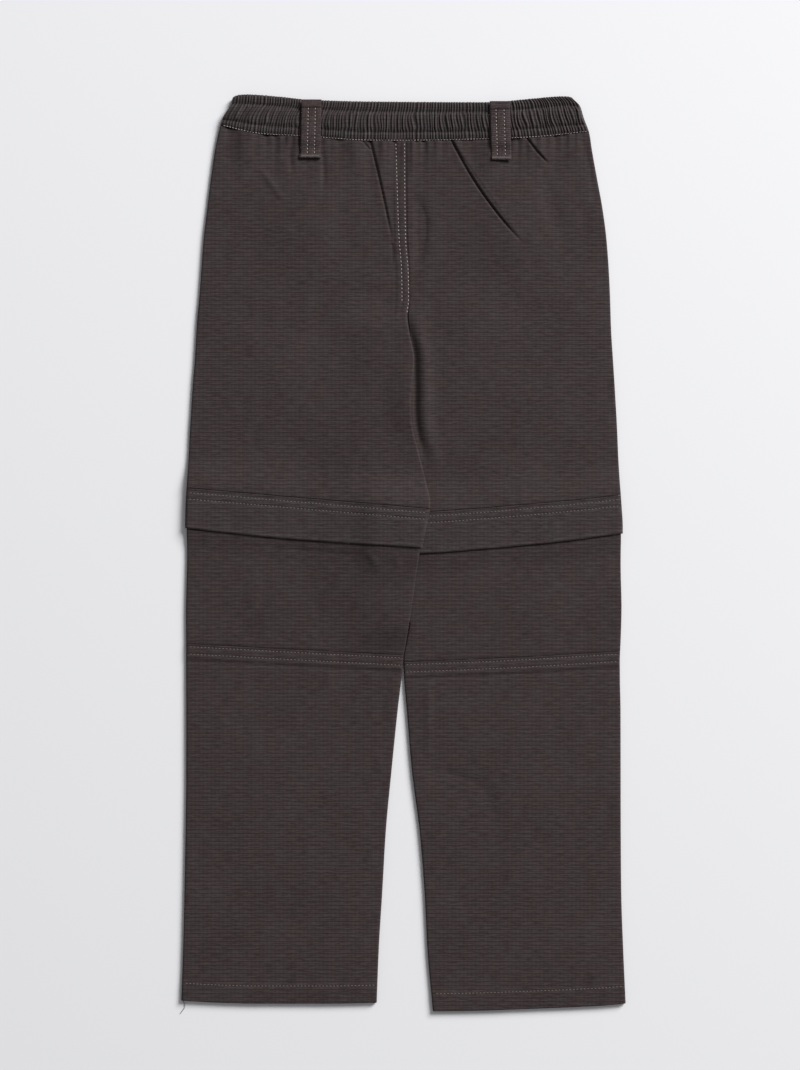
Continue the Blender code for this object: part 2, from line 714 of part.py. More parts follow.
def main():
    clear_scene()
    collection = bpy.data.collections.new(OBJECT_NAME)
    bpy.context.scene.collection.children.link(collection)
    add_waistband(collection)
    for leg in ("left", "right"):
        add_leg(collection, leg)
    for loop in LOOPS:
        add_loop(collection, loop)


main()
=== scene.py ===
# %% [markdown]
# # Straight-leg trousers on a pale table
# The imported frame holds the trousers as plain walls. Everything here is laid over those walls in
# the same metres, so no piece is fitted afterwards. Sizes are written in millimetres, as a maker
# would, and turned into metres at the last moment.

# %% Load the frame
import json
import math

import bmesh
import bpy
import numpy as np
from mathutils import Matrix, Vector

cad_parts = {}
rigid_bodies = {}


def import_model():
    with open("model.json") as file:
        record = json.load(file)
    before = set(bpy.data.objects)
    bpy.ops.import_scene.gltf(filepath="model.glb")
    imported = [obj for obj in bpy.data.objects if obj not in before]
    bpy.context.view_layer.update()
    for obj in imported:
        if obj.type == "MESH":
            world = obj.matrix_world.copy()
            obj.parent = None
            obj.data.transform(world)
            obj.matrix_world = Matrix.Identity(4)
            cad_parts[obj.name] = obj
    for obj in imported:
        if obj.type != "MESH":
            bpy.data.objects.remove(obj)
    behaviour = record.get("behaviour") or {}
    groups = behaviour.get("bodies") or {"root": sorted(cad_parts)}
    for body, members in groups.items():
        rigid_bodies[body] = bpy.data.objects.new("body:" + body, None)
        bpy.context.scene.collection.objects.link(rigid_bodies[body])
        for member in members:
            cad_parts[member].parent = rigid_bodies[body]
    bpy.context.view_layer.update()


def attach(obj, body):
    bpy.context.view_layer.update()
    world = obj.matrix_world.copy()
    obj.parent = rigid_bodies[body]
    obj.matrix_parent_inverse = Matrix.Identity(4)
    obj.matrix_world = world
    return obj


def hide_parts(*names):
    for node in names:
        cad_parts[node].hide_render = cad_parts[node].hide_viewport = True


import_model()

MM = 0.001

# %% [markdown]
# ## The camera
# The photo looks straight down. One pixel of the 800 by 1070 picture is taken as 0.85 mm, so the
# lens follows from the height of the camera and the length that the picture covers. A low
# camera would show the sides of the legs, so it hangs two metres up.

# %% Camera straight above the cloth
PIXEL = 0.85 * MM
PICTURE = (800, 1070)
PICTURE_MIDDLE = (-2.9 * MM, 15.3 * MM)
CAMERA_HEIGHT = 2.0



def placed(name, data):
    """A new object for some data, in the scene."""
    made = bpy.data.objects.new(name, data)
    bpy.context.scene.collection.objects.link(made)
    return made


lens_data = bpy.data.cameras.new("camera")
camera = placed("camera", lens_data)
camera.location = (*PICTURE_MIDDLE, CAMERA_HEIGHT)
lens_data.sensor_width = 36.0
lens_data.lens = lens_data.sensor_width * CAMERA_HEIGHT / (PICTURE[1] * PIXEL)
bpy.context.scene.camera = camera
print("lens in mm:", round(lens_data.lens, 1))

# %% [markdown]
# ## Colours and nodes
# Colours are picked as the sRGB hex values that a screen shows, and a shader wants linear ones,
# so one function turns one into the other. The other small functions add a node, start a material
# and give it a bumpy surface, which keeps each material short enough to read.

# %% Helpers for materials
def linear(hex_colour):
    """A hex colour as the linear red, green, blue and alpha of a shader's socket."""
    parts = [int(hex_colour[k : k + 2], 16) / 255 for k in (0, 2, 4)]
    return (*[c / 12.92 if c <= 0.04045 else ((c + 0.055) / 1.055) ** 2.4 for c in parts], 1.0)


def add_node(tree, kind, inputs, **settings):
    """A node with its settings; each input is a value or the socket that feeds it."""
    node = tree.nodes.new("ShaderNode" + kind)
    for name, value in settings.items():
        setattr(node, name, value)
    for socket, given in inputs.items():
        if isinstance(given, bpy.types.NodeSocket):
            tree.links.new(given, node.inputs[socket])
        else:
            node.inputs[socket].default_value = given
    return node


def new_material(name, roughness, specular):
    """A material, its node tree and its shader."""
    material = bpy.data.materials.new(name)
    material.use_nodes = True
    shader = material.node_tree.nodes["Principled BSDF"]
    shader.inputs["Roughness"].default_value = roughness
    shader.inputs["Specular IOR Level"].default_value = specular
    return material, material.node_tree, shader


def mixed(tree, share, first, second, blend="MIX"):
    inputs = {0: share, 6: first, 7: second}
    return add_node(tree, "Mix", inputs, data_type="RGBA", blend_type=blend).outputs[2]


def add_bump(tree, shader, height, depth):
    inputs = {"Strength": 0.5, "Distance": depth * MM, "Height": height}
    tree.links.new(add_node(tree, "Bump", inputs).outputs["Normal"], shader.inputs["Normal"])


# %% [markdown]
# ## The cut
# A flat garment is described by how wide it is at each height and by where its seams run. The
# table of sections gives both legs' edges. Above the crotch the two inner edges are one seam, and
# from there down to the knees the left leg lies over the right one, so they cross.

# %% Sections and seams, in millimetres
SECTIONS = np.array([
    # height, left side, left inner, right inner, right side
    (390.6, -144.6, 1.2, 1.2, 142.2),
    (386.8, -145.4, 1.2, 1.2, 144.6),
    (381.6, -146.3, 1.4, 1.4, 149.2),
    (368.9, -153.7, 1.6, 1.6, 153.3),
    (356.1, -157.1, 2.0, 2.0, 157.9),
    (342.6, -159.9, 2.4, 2.4, 160.0),
    (317.1, -163.6, 2.5, 2.5, 164.6),
    (291.6, -166.7, 2.7, 2.7, 169.2),
    (266.1, -169.7, 3.2, 3.2, 172.5),
    (240.5, -171.6, 4.8, 4.8, 174.4),
    (215.0, -173.5, 5.0, 5.0, 175.6),
    (200.6, -174.9, 3.5, 3.5, 176.0),
    (185.3, -175.9, 5.5, 5.5, 176.6),
    (164.0, -177.1, 9.3, -0.3, 178.0),
    (143.7, -178.8, 7.6, -5.4, 179.3),
    (128.3, -179.8, 6.5, -8.8, 180.2),
    (114.8, -180.6, 6.9, -11.4, 181.0),
    (102.8, -181.4, 8.5, -12.7, 181.6),
    (85.8, -182.2, 13.0, -14.4, 182.3),
    (62.0, -183.6, 18.8, -16.1, 183.6),
    (42.5, -184.9, 22.8, -17.3, 185.0),
    (21.2, -185.4, 19.4, -17.3, 186.2),
    (4.2, -185.1, 16.0, -16.1, 186.1),
    (-18.7, -184.9, 11.8, -12.6, 185.8),
    (-40.0, -184.7, 8.2, -6.0, 185.6),
    (-60.0, -184.6, 4.9, 4.9, 185.0),
    (-74.0, -184.5, 2.6, 2.6, 184.5),
    (-92.6, -184.5, -0.3, 0.0, 183.8),
    (-108.0, -184.5, -1.8, 0.7, 183.9),
    (-133.4, -184.4, -4.8, 2.8, 184.4),
    (-184.4, -184.4, -10.0, 7.1, 184.5),
    (-235.4, -185.0, -14.8, 13.6, 184.6),
    (-286.4, -185.9, -17.8, 17.8, 185.0),
    (-337.4, -187.1, -20.9, 20.4, 186.7),
    (-390.1, -189.1, -22.9, 25.0, 189.1),
])
SEAM_POINTS = {
    "waist edge": [
        (-150.8, 386.8), (-144.0, 388.2), (-133.8, 388.9), (-103.2, 386.8), (-82.8, 384.6),
        (-31.8, 382.9), (70.2, 382.3), (111.0, 385.5), (131.4, 387.2), (141.6, 387.4),
        (148.4, 385.9),
    ],
    "waist seam": [
        (-160.1, 363.8), (-154.5, 362.3), (-119.3, 354.9), (-83.6, 353.1), (-32.6, 349.5),
        (-2.9, 349.3), (68.2, 350.5), (109.3, 352.2), (158.6, 357.1),
    ],
    "left band seam": [(-185.6, 55.2), (-87.9, 46.8), (22.6, 37.4)],
    "right band seam": [(-17.3, 32.7), (22.6, 34.9), (69.0, 38.2), (146.5, 45.0), (185.8, 49.3)],
    "left band edge": [(-185.6, 21.2), (-104.9, 12.5), (-34.3, 7.5), (20.1, 4.2)],
    "right band edge": [(-17.3, -1.3), (15.3, -0.5), (69.0, 3.4), (128.9, 9.0), (185.8, 16.5)],
    "left knee seam": [(-184.8, -76.9), (-90.7, -82.0), (0.5, -86.7)],
    "right knee seam": [(-2.9, -92.6), (88.1, -88.9), (184.1, -83.3)],
    "left hem": [
        (-189.0, -379.8), (-154.2, -381.6), (-123.6, -382.3), (-62.4, -382.3), (-22.4, -381.6),
    ],
    "right hem": [
        (24.7, -388.9), (60.0, -388.4), (100.8, -387.0), (172.2, -383.8), (189.2, -382.1),
    ],
}


def smooth_line(points):
    """A smooth line through a table's points that never swings past them, for whole arrays."""
    places, values = (np.array(column, float) for column in zip(*sorted(points)))
    slopes = np.diff(values) / np.diff(places)
    product = slopes[:-1] * slopes[1:]
    total = slopes[:-1] + slopes[1:]
    bends = np.where(product > 0, 2 * product / np.where(total == 0, 1, total), 0)
    tangents = np.concatenate([slopes[:1], bends, slopes[-1:]])

    def value(place):
        place = np.clip(place, places[0], places[-1])
        k = np.clip(np.searchsorted(places, place, side="right") - 1, 0, len(places) - 2)
        step = places[k + 1] - places[k]
        t = (place - places[k]) / step
        start = (1 + 2 * t) * (1 - t) ** 2 * values[k]
        end = t * t * (3 - 2 * t) * values[k + 1]
        lean = t * (1 - t) ** 2 * tangents[k] - t * t * (1 - t) * tangents[k + 1]
        return start + end + step * lean

    return value


EDGES = {
    name: smooth_line(list(zip(SECTIONS[:, 0], SECTIONS[:, k + 1])))
    for k, name in enumerate(("left_side", "left_inner", "right_inner", "right_side"))
}
SEAMS = {name: smooth_line(points) for name, points in SEAM_POINTS.items()}
INWARDS = {"left": 1.0, "right": -1.0}
print("sections:", len(SECTIONS), "seams:", len(SEAMS))

# %% [markdown]
# ## How high the layers lie
# The front panels rest on the table and the back panels rest on them. Under the hanging bands the
# knee panel adds two more layers, and between crotch and knees the whole left leg climbs over the
# right one. Each rise eases in and out, because thick cloth never makes a hard step.

# %% Heights of the layers
FLAT_STACK, BAND_STACK, COVERED_STACK = 3.3, 6.4, 3.0
SEAM_GAP = 0.3
BAND_LIFT, BAND_FADE, BAND_SLOPE = 0.8, 30.0, 30.0
COVER_RISE, COVER_FADE, COVER_INSET, COVER_REACH = 1.6, 16.0, 1.5, 6.0
COVER_RUN, INSET_FADE = 1.5, 60.0
OVERLAP_SLOPE, OVERLAP_MARGIN, OVERLAP_CLEAR = 26.0, 3.0, 0.8
CROTCH_RISE, CROTCH_AT, CROTCH_LENGTH, CROTCH_WIDTH = 1.4, 201.0, 15.0, 22.0
EDGE_LIFT, EDGE_LIFT_AT, EDGE_LIFT_SPAN, EDGE_LIFT_WIDTH = 3.2, 130.0, 38.0, 26.0
LAP_STARTS, LAP_ENDS, ROUND_STARTS = (215.0, 187.0), (-60.5, -86.0), (212.0, 190.0)


def ease(share):
    """Goes smoothly from 0 to 1 while share does."""
    share = np.clip(share, 0.0, 1.0)
    return share * share * (3.0 - 2.0 * share)


def between(first, last, share):
    return first + (last - first) * share


def falling(height, span):
    """From 0 at the span's upper height to 1 at its lower one."""
    return ease((span[0] - height) / (span[0] - span[1]))


def ground(leg, across, height):
    """What a leg lies on: the table, or the right leg under the left one's inner edge."""
    if leg == "right":
        return np.zeros_like(across)
    over_band = ease((70.0 - height) / BAND_SLOPE) * (1 - ease((-3.0 - height) / BAND_SLOPE))
    right_top = FLAT_STACK + (BAND_STACK - FLAT_STACK) * over_band
    foot = EDGES["right_inner"](height) - OVERLAP_MARGIN - OVERLAP_SLOPE
    lap = ease((across - foot) / OVERLAP_SLOPE) * (right_top + OVERLAP_CLEAR)
    edge = EDGES["left_inner"](height)
    stand = EDGE_LIFT * np.exp(-(((height - EDGE_LIFT_AT) / EDGE_LIFT_SPAN) ** 2))
    stand = stand * ease((across - edge + EDGE_LIFT_WIDTH) / EDGE_LIFT_WIDTH)
    return falling(height, LAP_STARTS) * (1 - falling(height, LAP_ENDS)) * (lap + stand)


def stacks(part, leg, across, height):
    """The lowest and the highest surface of a leg's layers in one part of the garment."""
    low = ground(leg, across, height)
    if part == "thigh":
        waist, band = SEAMS["waist seam"](across), SEAMS[leg + " band seam"](across)
        rise = BAND_LIFT * (1 - ease((waist - height) / BAND_FADE))
        rise = rise + (BAND_STACK - FLAT_STACK) * ease((band + BAND_SLOPE - height) / BAND_SLOPE)
        lump = np.exp(-(((height - CROTCH_AT) / CROTCH_LENGTH) ** 2))
        from_seam = np.abs(across - EDGES[leg + "_inner"](height))
        rise = rise + CROTCH_RISE * lump * (1 - ease(from_seam / CROTCH_WIDTH))
        return low, low + FLAT_STACK + rise
    if part == "band":
        return low, low + BAND_STACK
    if part == "knee":
        edge = SEAMS[leg + " band edge"](across)
        cover = 1 - ease((edge - height - 2.5) / COVER_FADE)
        low = low + COVER_RISE * cover
        return low, low + between(FLAT_STACK, COVERED_STACK, cover)
    return low, low + FLAT_STACK


# %% [markdown]
# ## Creases, puckers and fullness
# Laid cloth is never flat. Four kinds of form cover what the photo shows: broad puffs where air
# stays between the layers, soft ridges and troughs, sharp crevices where the cloth folds over
# itself, and fine puckers that fan out below the gathered waist. They are listed one by one, each
# with its own length, width and height, and they fade before a side edge.

# %% Puffs and creases, in millimetres
PUFFS = [
    # across, height, half width, half length, rise
    (-88.0, 290.0, 62.0, 62.0, 2.4),
    (92.0, 286.0, 62.0, 66.0, 2.6),
    (-98.0, 132.0, 60.0, 78.0, 1.4),
    (104.0, 132.0, 58.0, 78.0, 1.4),
    (-98.0, -36.0, 62.0, 40.0, 0.9),
    (96.0, -40.0, 62.0, 40.0, 0.9),
    (-104.0, -228.0, 56.0, 110.0, 1.0),
    (104.0, -228.0, 56.0, 110.0, 1.0),
]
SOFT_CREASES = [
    # start, middle and end as across and height; half width; rise, which is negative for a trough
    ((118.2, 322.5), (125.5, 295.8), (131.4, 269.4), 8.0, -1.3),
    ((152.7, 347.6), (159.5, 325.6), (161.4, 300.1), 2.6, -0.9),
    ((12.2, 298.0), (15.4, 277.1), (12.7, 245.0), 5.0, -2.6),
    ((-120.6, 325.6), (-111.7, 312.8), (-101.5, 299.2), 3.0, 0.8),
    ((-42.8, 219.3), (-28.4, 221.8), (-13.1, 222.4), 3.5, -0.7),
    ((-95.5, 349.9), (-96.5, 337.8), (-94.5, 323.6), 2.6, -1.2),
    ((-68.3, 340.0), (-67.5, 322.3), (-68.3, 309.1), 2.4, -1.2),
    ((-133.2, 7.0), (-69.4, 1.0), (-34.3, -2.4), 2.6, -0.6),
    ((-31.2, 3.4), (-25.8, -6.0), (-21.6, -16.1), 3.0, 0.7),
    ((-7.1, 0.8), (-5.4, -6.0), (-4.6, -13.9), 2.6, 0.6),
    ((18.2, -184.6), (43.9, -188.7), (68.3, -198.9), 3.4, -0.9),
    ((68.3, -198.9), (74.0, -216.0), (78.0, -238.0), 7.0, -0.7),
    ((21.4, -108.0), (21.4, -140.2), (21.8, -171.7), 3.0, 0.7),
    ((-22.8, -168.0), (-20.0, -178.0), (-24.0, -190.0), 3.0, 0.5),
    ((-60.0, 300.0), (-52.0, 262.0), (-60.0, 232.0), 12.0, -0.7),
    ((60.0, 236.0), (84.0, 214.0), (128.0, 204.0), 12.0, -0.6),
    ((-140.0, 210.0), (-110.0, 192.0), (-64.0, 188.0), 11.0, -0.5),
    ((-150.0, 96.0), (-98.0, 84.0), (-40.0, 90.0), 12.0, -0.5),
    ((60.0, 92.0), (110.0, 84.0), (160.0, 96.0), 11.0, -0.5),
    ((-150.0, -140.0), (-96.0, -152.0), (-40.0, -146.0), 12.0, -0.4),
    ((52.0, -290.0), (100.0, -300.0), (150.0, -292.0), 13.0, -0.4),
    ((-150.0, -300.0), (-104.0, -312.0), (-60.0, -304.0), 12.0, -0.4),
]
CREVICES = [
    # start, middle and end; half width of a lip; rise of the lips; depth of the cleft
    ((-27.9, 349.5), (-17.6, 305.0), (-9.0, 262.0), 4.0, 0.6, 1.7),
    ((-34.6, 350.0), (-31.0, 345.4), (-26.6, 341.0), 2.4, 0.3, 1.0),
    ((40.9, 350.5), (68.2, 303.4), (104.4, 259.4), 5.5, 0.75, 1.8),
    ((105.1, 352.0), (113.8, 340.2), (124.1, 330.1), 3.6, 0.5, 1.4),
    ((-9.6, 262.0), (-9.0, 253.0), (-9.4, 244.0), 3.0, 0.2, 0.8),
]
CLEFT_WIDTH, LOWER_LIP, CREVICE_FADES = 0.8, 0.35, 0.68
CREASE_STEPS = 24
# Air under the left leg lets its upper layer climb more gently than its lower one
CLIMB_LENGTH, CLIMB_HEIGHT = 50.0, 4.5
# Beside the left leg's raised edge the right leg sinks into a valley and rolls up again
VALLEY_AT, VALLEY_SPAN, VALLEY_HALF_WIDTH, VALLEY_DEPTH = 142.0, 54.0, 2.6, 1.6
VALLEY_NEAREST, VALLEY_DRIFT, DRIFT_FROM, DRIFT_RUN = 0.8, 3.0, 165.0, 35.0
ROLL_BESIDE, ROLL_HALF_WIDTH, ROLL_HEIGHT = 8.0, 5.5, 2.6


def crease_at(points, half_width, across, height):
    """Where a bent crease acts, and there the distance to it and the share of the way along."""
    low, high = np.min(points, axis=0) - 3 * half_width, np.max(points, axis=0) + 3 * half_width
    here = (across > low[0]) & (across < high[0]) & (height > low[1]) & (height < high[1])
    across, height = across[here], height[here]
    t = np.linspace(0, 1, CREASE_STEPS + 1)[:, None]
    weights = np.hstack([(1 - t) * (1 - 2 * t), 4 * t * (1 - t), t * (2 * t - 1)])
    line = weights @ np.array(points)
    nearest = np.full(across.shape, 1e9)
    along = np.zeros(across.shape)
    for k in range(CREASE_STEPS):
        (x0, y0), (x1, y1) = line[k], line[k + 1]
        run = (x1 - x0) ** 2 + (y1 - y0) ** 2
        share = np.clip(((across - x0) * (x1 - x0) + (height - y0) * (y1 - y0)) / run, 0, 1)
        far = np.hypot(across - x0 - share * (x1 - x0), height - y0 - share * (y1 - y0))
        closer = far < nearest
        nearest = np.where(closer, far, nearest)
        along = np.where(closer, (k + share) / CREASE_STEPS, along)
    return here, nearest, along


def creases(across, height):
    """Soft creases as rounded ridges, and crevices as two lips with a cleft between them."""
    total = np.zeros(across.shape)
    for *points, half_width, rise in SOFT_CREASES:
        here, far, along = crease_at(points, half_width, across, height)
        fade = np.sin(np.pi * between(0.1, 0.9, along))
        total[here] += rise * fade * np.exp(-((far / half_width) ** 2))
    for *points, half_width, rise, depth in CREVICES:
        here, far, along = crease_at(points, half_width, across, height)
        fade = 1 - ease((along - CREVICE_FADES) / (1 - CREVICE_FADES))
        chord = np.array(points[2]) - np.array(points[0])
        way = chord[0] * (height[here] - points[0][1]) - chord[1] * (across[here] - points[0][0])
        roll = np.where(way > 0, 1.0, LOWER_LIP)
        lips = roll * rise * np.exp(-((far / half_width) ** 2))
        cleft = (rise + depth) * np.exp(-((far / CLEFT_WIDTH) ** 2))
        total[here] += fade * (lips - cleft)
    return total


def undulation(across, height):
    """Faint waves with no direction of their own, so that no stretch is a perfect plane."""
    slow = np.sin(across / 17.0 + 2.1 * np.sin(height / 41.0)) * np.sin(height / 29.0 + 0.7)
    quick = np.sin(across / 6.1 + 1.3 * np.sin(height / 11.0)) * np.sin(height / 7.3 + across / 19.0)
    return 0.16 * slow + 0.045 * quick


def puckers(across, height):
    """What the gathers leave below the waist seam: fine ones at once, long ones further down."""
    below = SEAMS["waist seam"](across) - height
    here = (below < 70.0) & (below > -2.0)
    fine = np.abs(np.sin(np.pi * (across / 2.9 + 0.5 * np.sin(across / 9.0)))) - 0.4
    middle = np.sin(across / 1.15 + 1.9 * np.sin(across / 13.0) + 0.02 * below)
    middle = middle * (0.6 + 0.4 * np.sin(across / 17.0 + 1.0))
    long = np.sin(across / 4.6 + 2.3 * np.sin(across / 31.0)) * np.sin(across / 37.0 + 2.0)
    fading = 0.3 * fine * np.exp(-below / 4.0) + 0.6 * middle * np.exp(-below / 11.0)
    return here * (fading + 1.2 * long * np.exp(-((below / 30.0) ** 2)))


def relief(leg, across, height):
    """Everything that lifts the upper layer off its plain form, faded at the leg's edges."""
    total = creases(across, height) + undulation(across, height) + puckers(across, height)
    for x, y, half_width, half_length, rise in PUFFS:
        far = np.hypot((across - x) / half_width, (height - y) / half_length)
        total += rise * (1 - ease(far))
    total *= ease((np.abs(across - EDGES[leg + "_side"](height)) - 1.0) / 8.0)
    inner = EDGES[leg + "_inner"](height)
    total *= ease((np.abs(across - inner) - 0.5) / 6.0)
    covered = np.maximum(EDGES["left_inner"](height), EDGES["right_inner"](height))
    if leg == "right":
        valley = np.exp(-(((height - VALLEY_AT) / VALLEY_SPAN) ** 4))
        beside = across - covered
        foot = VALLEY_NEAREST + VALLEY_DRIFT * ease((DRIFT_FROM - height) / DRIFT_RUN)
        from_roll = (beside - foot - ROLL_BESIDE) / ROLL_HALF_WIDTH
        total += ROLL_HEIGHT * valley * np.exp(-(from_roll**2))
        total -= VALLEY_DEPTH * valley * np.exp(-(((beside - foot) / VALLEY_HALF_WIDTH) ** 2))
        under = (height < LAP_STARTS[0]) & (height > LAP_ENDS[1])
        visible = ease((across - covered + 4.0) / 3.0)
        total = np.where(under, total * visible, total)
    return total


print("creases:", len(SOFT_CREASES) + len(CREVICES), "puffs:", len(PUFFS))

# %% [markdown]
# ## Rows of stitches
# Every seam here is held by rows that show. Where they run is part of the cloth's form, because
# thread pulls the cloth down, so the rows are listed before the panels are made. A row is a
# distance from a seam. The knee rows are 6.2 mm apart, near the common twin-needle gauge, and the
# band rows are closer, 5.5 mm, as the photo shows them.

# %% Where the rows run
TWIN_GAUGE = 6.2
FIRST_ROW = 2.5
BAND_ROWS = (3.7, 9.2)
KNEE_ROWS = (FIRST_ROW, FIRST_ROW + TWIN_GAUGE)
HEM_ROW, HEM_DEPTH = 14.9, 16.0
FELL_WIDTH, FELL_HEIGHT = 9.8, 0.5
FELL_ROWS = [
    # distance from the middle seam at some heights
    smooth_line([(200.0, 0.7), (228.0, 0.7), (261.0, 1.4), (350.0, 1.5)]),
    smooth_line([(200.0, 6.2), (228.0, 6.3), (261.0, 6.8), (350.0, 8.9)]),
]
RIDGE_EASE = 1.2
TURN_WIDTH, TURN_HEIGHT, TURN_EASE, HEM_HEIGHT = 10.6, 0.6, 4.0, 0.45
ROW_PULL, ROW_WIDTH, STITCH_PITCH = 0.45, 0.8, 3.05


def ridge(distance, width, easing=RIDGE_EASE):
    return 1 - ease((distance - width) / easing)


def pulled(distance, along):
    """How far a row of stitches pulls the cloth down, most at each needle hole."""
    holes = 0.65 + 0.35 * np.abs(np.cos(np.pi * along / STITCH_PITCH))
    return -ROW_PULL * holes * np.exp(-((distance / ROW_WIDTH) ** 2))


def dip_at(distance, depth=0.5, width=0.8):
    """The groove along a joined edge."""
    return -depth * np.exp(-((distance / width) ** 2))


def sewn(part, leg, across, height):
    """Ridges of turned cloth, pulled rows and seam grooves of one part."""
    total = np.zeros(across.shape)
    if part == "thigh":
        waist, band = SEAMS["waist seam"](across), SEAMS[leg + " band seam"](across)
        total += dip_at(waist - height, 0.1, 0.8) + dip_at(height - band, 0.06, 0.6)
        above = 1 - falling(height, ROUND_STARTS)
        from_seam = np.abs(EDGES[leg + "_inner"](height) - across)
        if leg == "left":
            total += above * FELL_HEIGHT * ridge(from_seam, FELL_WIDTH)
            for row in FELL_ROWS:
                total += above * pulled(from_seam - row(height), height)
        total += above * dip_at(from_seam, 0.4)
    if part == "band":
        seam = SEAMS[leg + " band seam"](across)
        total += dip_at(seam - height, 0.06, 0.6) + dip_at(seam - height - 2.0, 0.35, 0.8)
        for row in BAND_ROWS:
            total += pulled(seam - height - row, across)
        edge = SEAMS[leg + " band edge"](across)
        total += dip_at(height - edge - 1.5, -0.35, 0.9) - 0.3 * (1 - ease((height - edge) / 0.8))
    if part == "knee":
        total += dip_at(height - SEAMS[leg + " knee seam"](across), 0.35, 1.3)
        total += dip_at(SEAMS[leg + " band edge"](across) - height, -0.4, 5.0)
    if part == "shin":
        knee, hem = SEAMS[leg + " knee seam"](across), SEAMS[leg + " hem"](across)
        total += TURN_HEIGHT * ridge(knee - height, TURN_WIDTH, TURN_EASE)
        total += dip_at(knee - height - TURN_WIDTH - TURN_EASE, 0.3, 2.0)
        for row in KNEE_ROWS:
            total += pulled(knee - height - row, across)
        total += HEM_HEIGHT * ridge(height - hem, HEM_DEPTH)
        total += pulled(height - hem - HEM_ROW, across)
    return total


def climb(leg, across, height):
    """How much more gently the left leg's upper layer rises over the right leg than its lower one."""
    if leg == "right":
        return np.zeros(across.shape)
    foot = EDGES["right_inner"](height) - OVERLAP_MARGIN - OVERLAP_SLOPE
    gentle = ease((across - foot + CLIMB_LENGTH) / (CLIMB_LENGTH + OVERLAP_SLOPE))
    steep = ease((across - foot) / OVERLAP_SLOPE)
    lapped = falling(height, LAP_STARTS) * (1 - falling(height, LAP_ENDS))
    return CLIMB_HEIGHT * lapped * (gentle - steep)


def top_of(part, leg, across, height):
    """The finished upper surface of one part, where stitches and loops can be set."""
    low, high = stacks(part, leg, across, height)
    lifted = relief(leg, across, height)
    if part == "band":
        lifted = np.maximum(lifted, 0.0)
    if part == "knee":
        lifted = lifted * ease((SEAMS[leg + " band edge"](across) - height - 2.0) / 8.0)
    most = high - low - 2 * CLOTH_WALL - 0.4
    formed = np.maximum(lifted + sewn(part, leg, across, height), -most)
    return high + climb(leg, across, height) + formed


CLOTH_WALL = 0.7
print("twin rows", TWIN_GAUGE, "mm apart, stitches", STITCH_PITCH, "mm long")

# %% [markdown]
# ## The ripstop cloth
# Ripstop cotton is a plain weave with a thicker yarn every few threads, so it shows a faint grid
# in which the crosswise ribs are the stronger ones. Washed cotton is matt with a little nap. The
# grid could be an image, but waves on the piece's own UV map stay at real size everywhere. The
# thick yarns lie 3.4 mm apart, with a thinner rib between them. Single threads are too fine for
# the render, so slubs, which are stretched noise, break the ribs up as uneven yarn does.

# %% A material for the cloth
RIB = 3.4
WAVE_PER_MM = 2 * math.pi / 20.0
RIB_NARROWNESS = 2.2
SLUB_SCALE = (0.11, 0.75, 1.0)
SLUB_SHARE, GRAIN_SHARE, WASH_SHARE = 0.3, 0.7, 0.5
MIDDLE_TONE = 1.08
WARM = "fff3f2"


def noise(tree, vector, scale, detail, roughness):
    """Plain noise, 0 to 1, on a vector in mm."""
    inputs = {"Scale": scale, "Detail": detail, "Roughness": roughness, "Vector": vector}
    return add_node(tree, "TexNoise", inputs).outputs["Fac"]


def scaled(tree, vector, scale):
    return add_node(tree, "Mapping", {"Scale": scale, "Vector": vector}).outputs["Vector"]


def remapped(tree, value, start, end, low=0.0, high=1.0):
    inputs = {"Value": value, "From Min": start, "From Max": end, "To Min": low, "To Max": high}
    return add_node(tree, "MapRange", inputs).outputs["Result"]


def sum_of(tree, value, factor, rest=0.0):
    """value times factor plus rest, each a socket or a number."""
    inputs = {0: value, 1: factor, 2: rest}
    return add_node(tree, "Math", inputs, operation="MULTIPLY_ADD").outputs["Value"]


def ribs(tree, vector, axis, pitch):
    """Narrow ribs one pitch apart, in mm, along one axis of the cloth."""
    inputs = {
        "Vector": vector, "Scale": WAVE_PER_MM / pitch,
        "Distortion": 0.25, "Detail": 1.0, "Detail Scale": 0.4,
    }
    wave = add_node(
        tree, "TexWave", inputs, wave_type="BANDS", bands_direction=axis, wave_profile="SIN"
    )
    power = {0: wave.outputs["Fac"], 1: RIB_NARROWNESS}
    return add_node(tree, "Math", power, operation="POWER").outputs["Value"]


